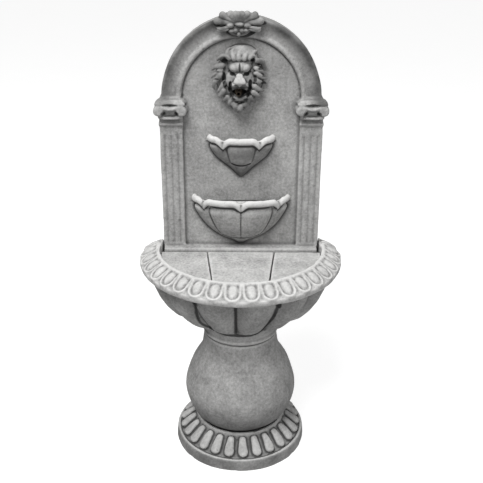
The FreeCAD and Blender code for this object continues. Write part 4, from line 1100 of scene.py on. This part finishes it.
lionDents = [(lion["middle"][0] + x, lion["middle"][2] + z, *rest) for x, z, *rest in lion["dents"]]
castStone("lion_mask", "stand", lionForms(), 1.3, 71, soften=9, finish=stoneCarving, dents=lionDents,
          rough=0.35, hollowSpan=1.1, stain=maneStain)

# crest: a low fan shell over leaf scrolls; its sizes run across, out from its back and up,
# from the fan's point
crest = {
    "middle": (-8.0, 146.0, 1316.0),
    "ribs": 9,
    "fan": (8.0, 172.0),
    "halfWide": 73.0,
    "rise": 36.5,
    "boxy": 3.0,        # 2 makes the fan's outline an ellipse, more makes it squarer
    "rootHalf": 3.0,
    "endHalf": 10.5,
    "flat": 0.6,        # height of a rib against its width
    "rootR": 4.0,
    "out": (13, 14, 15, 11),       # of a rib, from root to tip
    "backing": 13.0,
    "heart": ((0, 2, -16), (34, 14, 20)),
    "leafHalf": (4.6, 4.5),
    "darkening": 0.50,
    "lumps": (
        ((2, 16, -1), (13, 9, 6)), ((-25, 4, -4), (14, 20, 10)), ((25, 4, -4), (14, 20, 10)),
        ((-46, 8, -15), (16, 12, 6)), ((46, 8, -14), (17, 12, 6.5)),
        ((-9, 12, -19), (7.5, 11, 6.5)), ((9, 12, -19), (7.5, 11, 6.5)),
        ((-20, 10, -20), (9, 10, 6)), ((21, 10, -18), (9, 11, 7)), ((0, 10, -29), (7, 11, 7)),
    ),
    "leaves": (
        ((-28, 16, -8), (-42, 16, -11), (-55, 13, -13), (-63, 8, -11)),
        ((-28, 14, -14), (-42, 15, -18), (-55, 11, -20), (-62, 7, -18)),
        ((28, 16, -8), (42, 16, -10), (56, 13, -12), (64, 8, -9)),
        ((28, 14, -14), (42, 15, -17), (56, 11, -19), (63, 7, -16)),
    ),
}


def onCrest(where):
    return np.asarray(where, float) * (1, -1, 1) + crest["middle"]


def crestForms():
    forms, outline = [], []
    half, boxy = crest["endHalf"], crest["boxy"]
    for degrees in np.linspace(*crest["fan"], crest["ribs"]):
        turn = math.radians(degrees)
        edge = (abs(math.cos(turn) / crest["halfWide"]) ** boxy
                + abs(math.sin(turn) / crest["rise"]) ** boxy) ** (-1 / boxy)
        way = np.array([math.cos(turn), 0, math.sin(turn)])
        end = edge - half
        steps = zip((crest["rootR"], end * 0.5, end, edge - 1.5), crest["out"])
        line = through([onCrest(way * r + (0, out, 0)) for r, out in steps])
        wide = tapered((crest["rootHalf"], half * 0.62, half, half * 0.8), line, 0.05, 0.12)
        forms.append(sweep(line, wide, wide * crest["flat"] + 1.0, (0, -1, 0), 14))
        outline.append(onCrest(way * (edge - 5)))
    outline = np.array(outline)
    forms.append(ringStack([outline + (0, y, 0) for y in (0.0, -crest["backing"])]))
    forms += [blob(onCrest(centre), size) for centre, size in (*crest["lumps"], crest["heart"])]
    wide, high = crest["leafHalf"]
    for line in crest["leaves"]:
        path = through(onCrest(line))
        forms.append(sweep(path, tapered(wide, path, 0.35, 0.5), high, (0, -1, 0), 10))
    keep = joined(forms)
    keep[0][:, 1] = np.minimum(keep[0][:, 1], crest["middle"][1])
    return [keep]


def crestStain(points):
    return crest["darkening"] * (1 + 0.7 * lattice(points, 18.0, 4))


castStone("shell_crest", "stand", crestForms(), 1.2, 79, finish=stoneCarving, rough=0.35, stain=crestStain)

touching = (      # stone, its neighbour, how far the painted shade and joint dirt reach, the height up to which they lie
    ("back_panel", "upper_bowl", 11.0, 966.0), ("back_panel", "middle_bowl", 12.0, 770.0),
    ("back_panel", "shell_crest", 13.0, 1296.0), ("back_panel", "shell_crest", 5.0),
    ("back_panel", "lion_mask", 5.0), ("back_panel", "basin", 5.0), ("basin", "back_panel", 5.0),
    ("upper_bowl", "back_panel", 20.0, 935.0), ("middle_bowl", "back_panel", 20.0, 735.0),
    ("lion_mask", "back_panel", 3.0), ("shell_crest", "back_panel", 4.0),
    ("globe", "basin", 6.0), ("basin", "globe", 6.0), ("globe", "plinth", 5.0), ("plinth", "globe", 6.0),
)
for facts in touching:
    markJointAndShade(*facts)
print("joints marked")

# floor and light
studio = {
    "floorTone": 0.42,
    "floorHalf": 30.0,
    "floorGlow": 0.80,      # only what the camera and reflections see
    "skyTone": 0.33,
    "key": {"at": (-1.1, -1.9, 4.5), "aim": (0.0, 0.0, 0.8), "size": 2.5, "watts": 255.0},
    "fill": {"at": (2.4, -2.4, 1.6), "aim": (0.0, 0.0, 0.7), "size": 2.0, "watts": 28.0},
}


def seenRays(f):
    path = f.node("ShaderNodeLightPath")
    seen = f.sum("MAXIMUM", f.out(path, "Is Camera Ray"), f.out(path, "Is Glossy Ray"))
    return f.sum("MAXIMUM", seen, f.out(path, "Is Transmission Ray"))


def makeFloor():
    f = Finish("paleFloor")
    where = f.place()
    tone = studio["floorTone"] + 0.03 * (f.noise(where, 3.0) - 0.5)
    base = f.out(f.node("ShaderNodeCombineColor", {}, {0: tone, 1: tone, 2: tone}))
    matt = f.node("ShaderNodeBsdfDiffuse", {}, {"Color": base})
    strength = seenRays(f) * studio["floorGlow"]
    glow = f.node("ShaderNodeEmission", {}, {"Color": (1, 1, 1, 1), "Strength": strength})
    both = f.node("ShaderNodeAddShader", {}, {0: f.out(matt), 1: f.out(glow)})
    f.node("ShaderNodeOutputMaterial", {}, {"Surface": f.out(both)})
    half = studio["floorHalf"]
    corners = [(-half, -half, 0), (half, -half, 0), (half, half, 0), (-half, half, 0)]
    mesh = bpy.data.meshes.new("floor")
    mesh.from_pydata(corners, [], [(0, 1, 2, 3)])
    mesh.materials.append(f.owner)
    newObject("floor", mesh)


def makeLamp(name, facts):
    data = bpy.data.lights.new(name, "AREA")
    data.shape = "DISK"
    data.size = facts["size"]
    data.energy = facts["watts"]
    lamp = bpy.data.objects.new(name, data)
    lamp.location = facts["at"]
    lamp.rotation_euler = (Vector(facts["aim"]) - Vector(facts["at"])).to_track_quat("-Z", "Y").to_euler()
    scene.collection.objects.link(lamp)


def makeSky():
    scene.world = bpy.data.worlds.new("studio")
    f = Finish("sky", scene.world)
    strength = studio["skyTone"] + (1 - studio["skyTone"]) * seenRays(f)
    sky = f.node("ShaderNodeBackground", {}, {"Color": (1, 1, 1, 1), "Strength": strength})
    f.node("ShaderNodeOutputWorld", {}, {"Surface": f.out(sky)})


makeFloor()
makeSky()
makeLamp("key", studio["key"])
makeLamp("fill", studio["fill"])
print("studio ready")
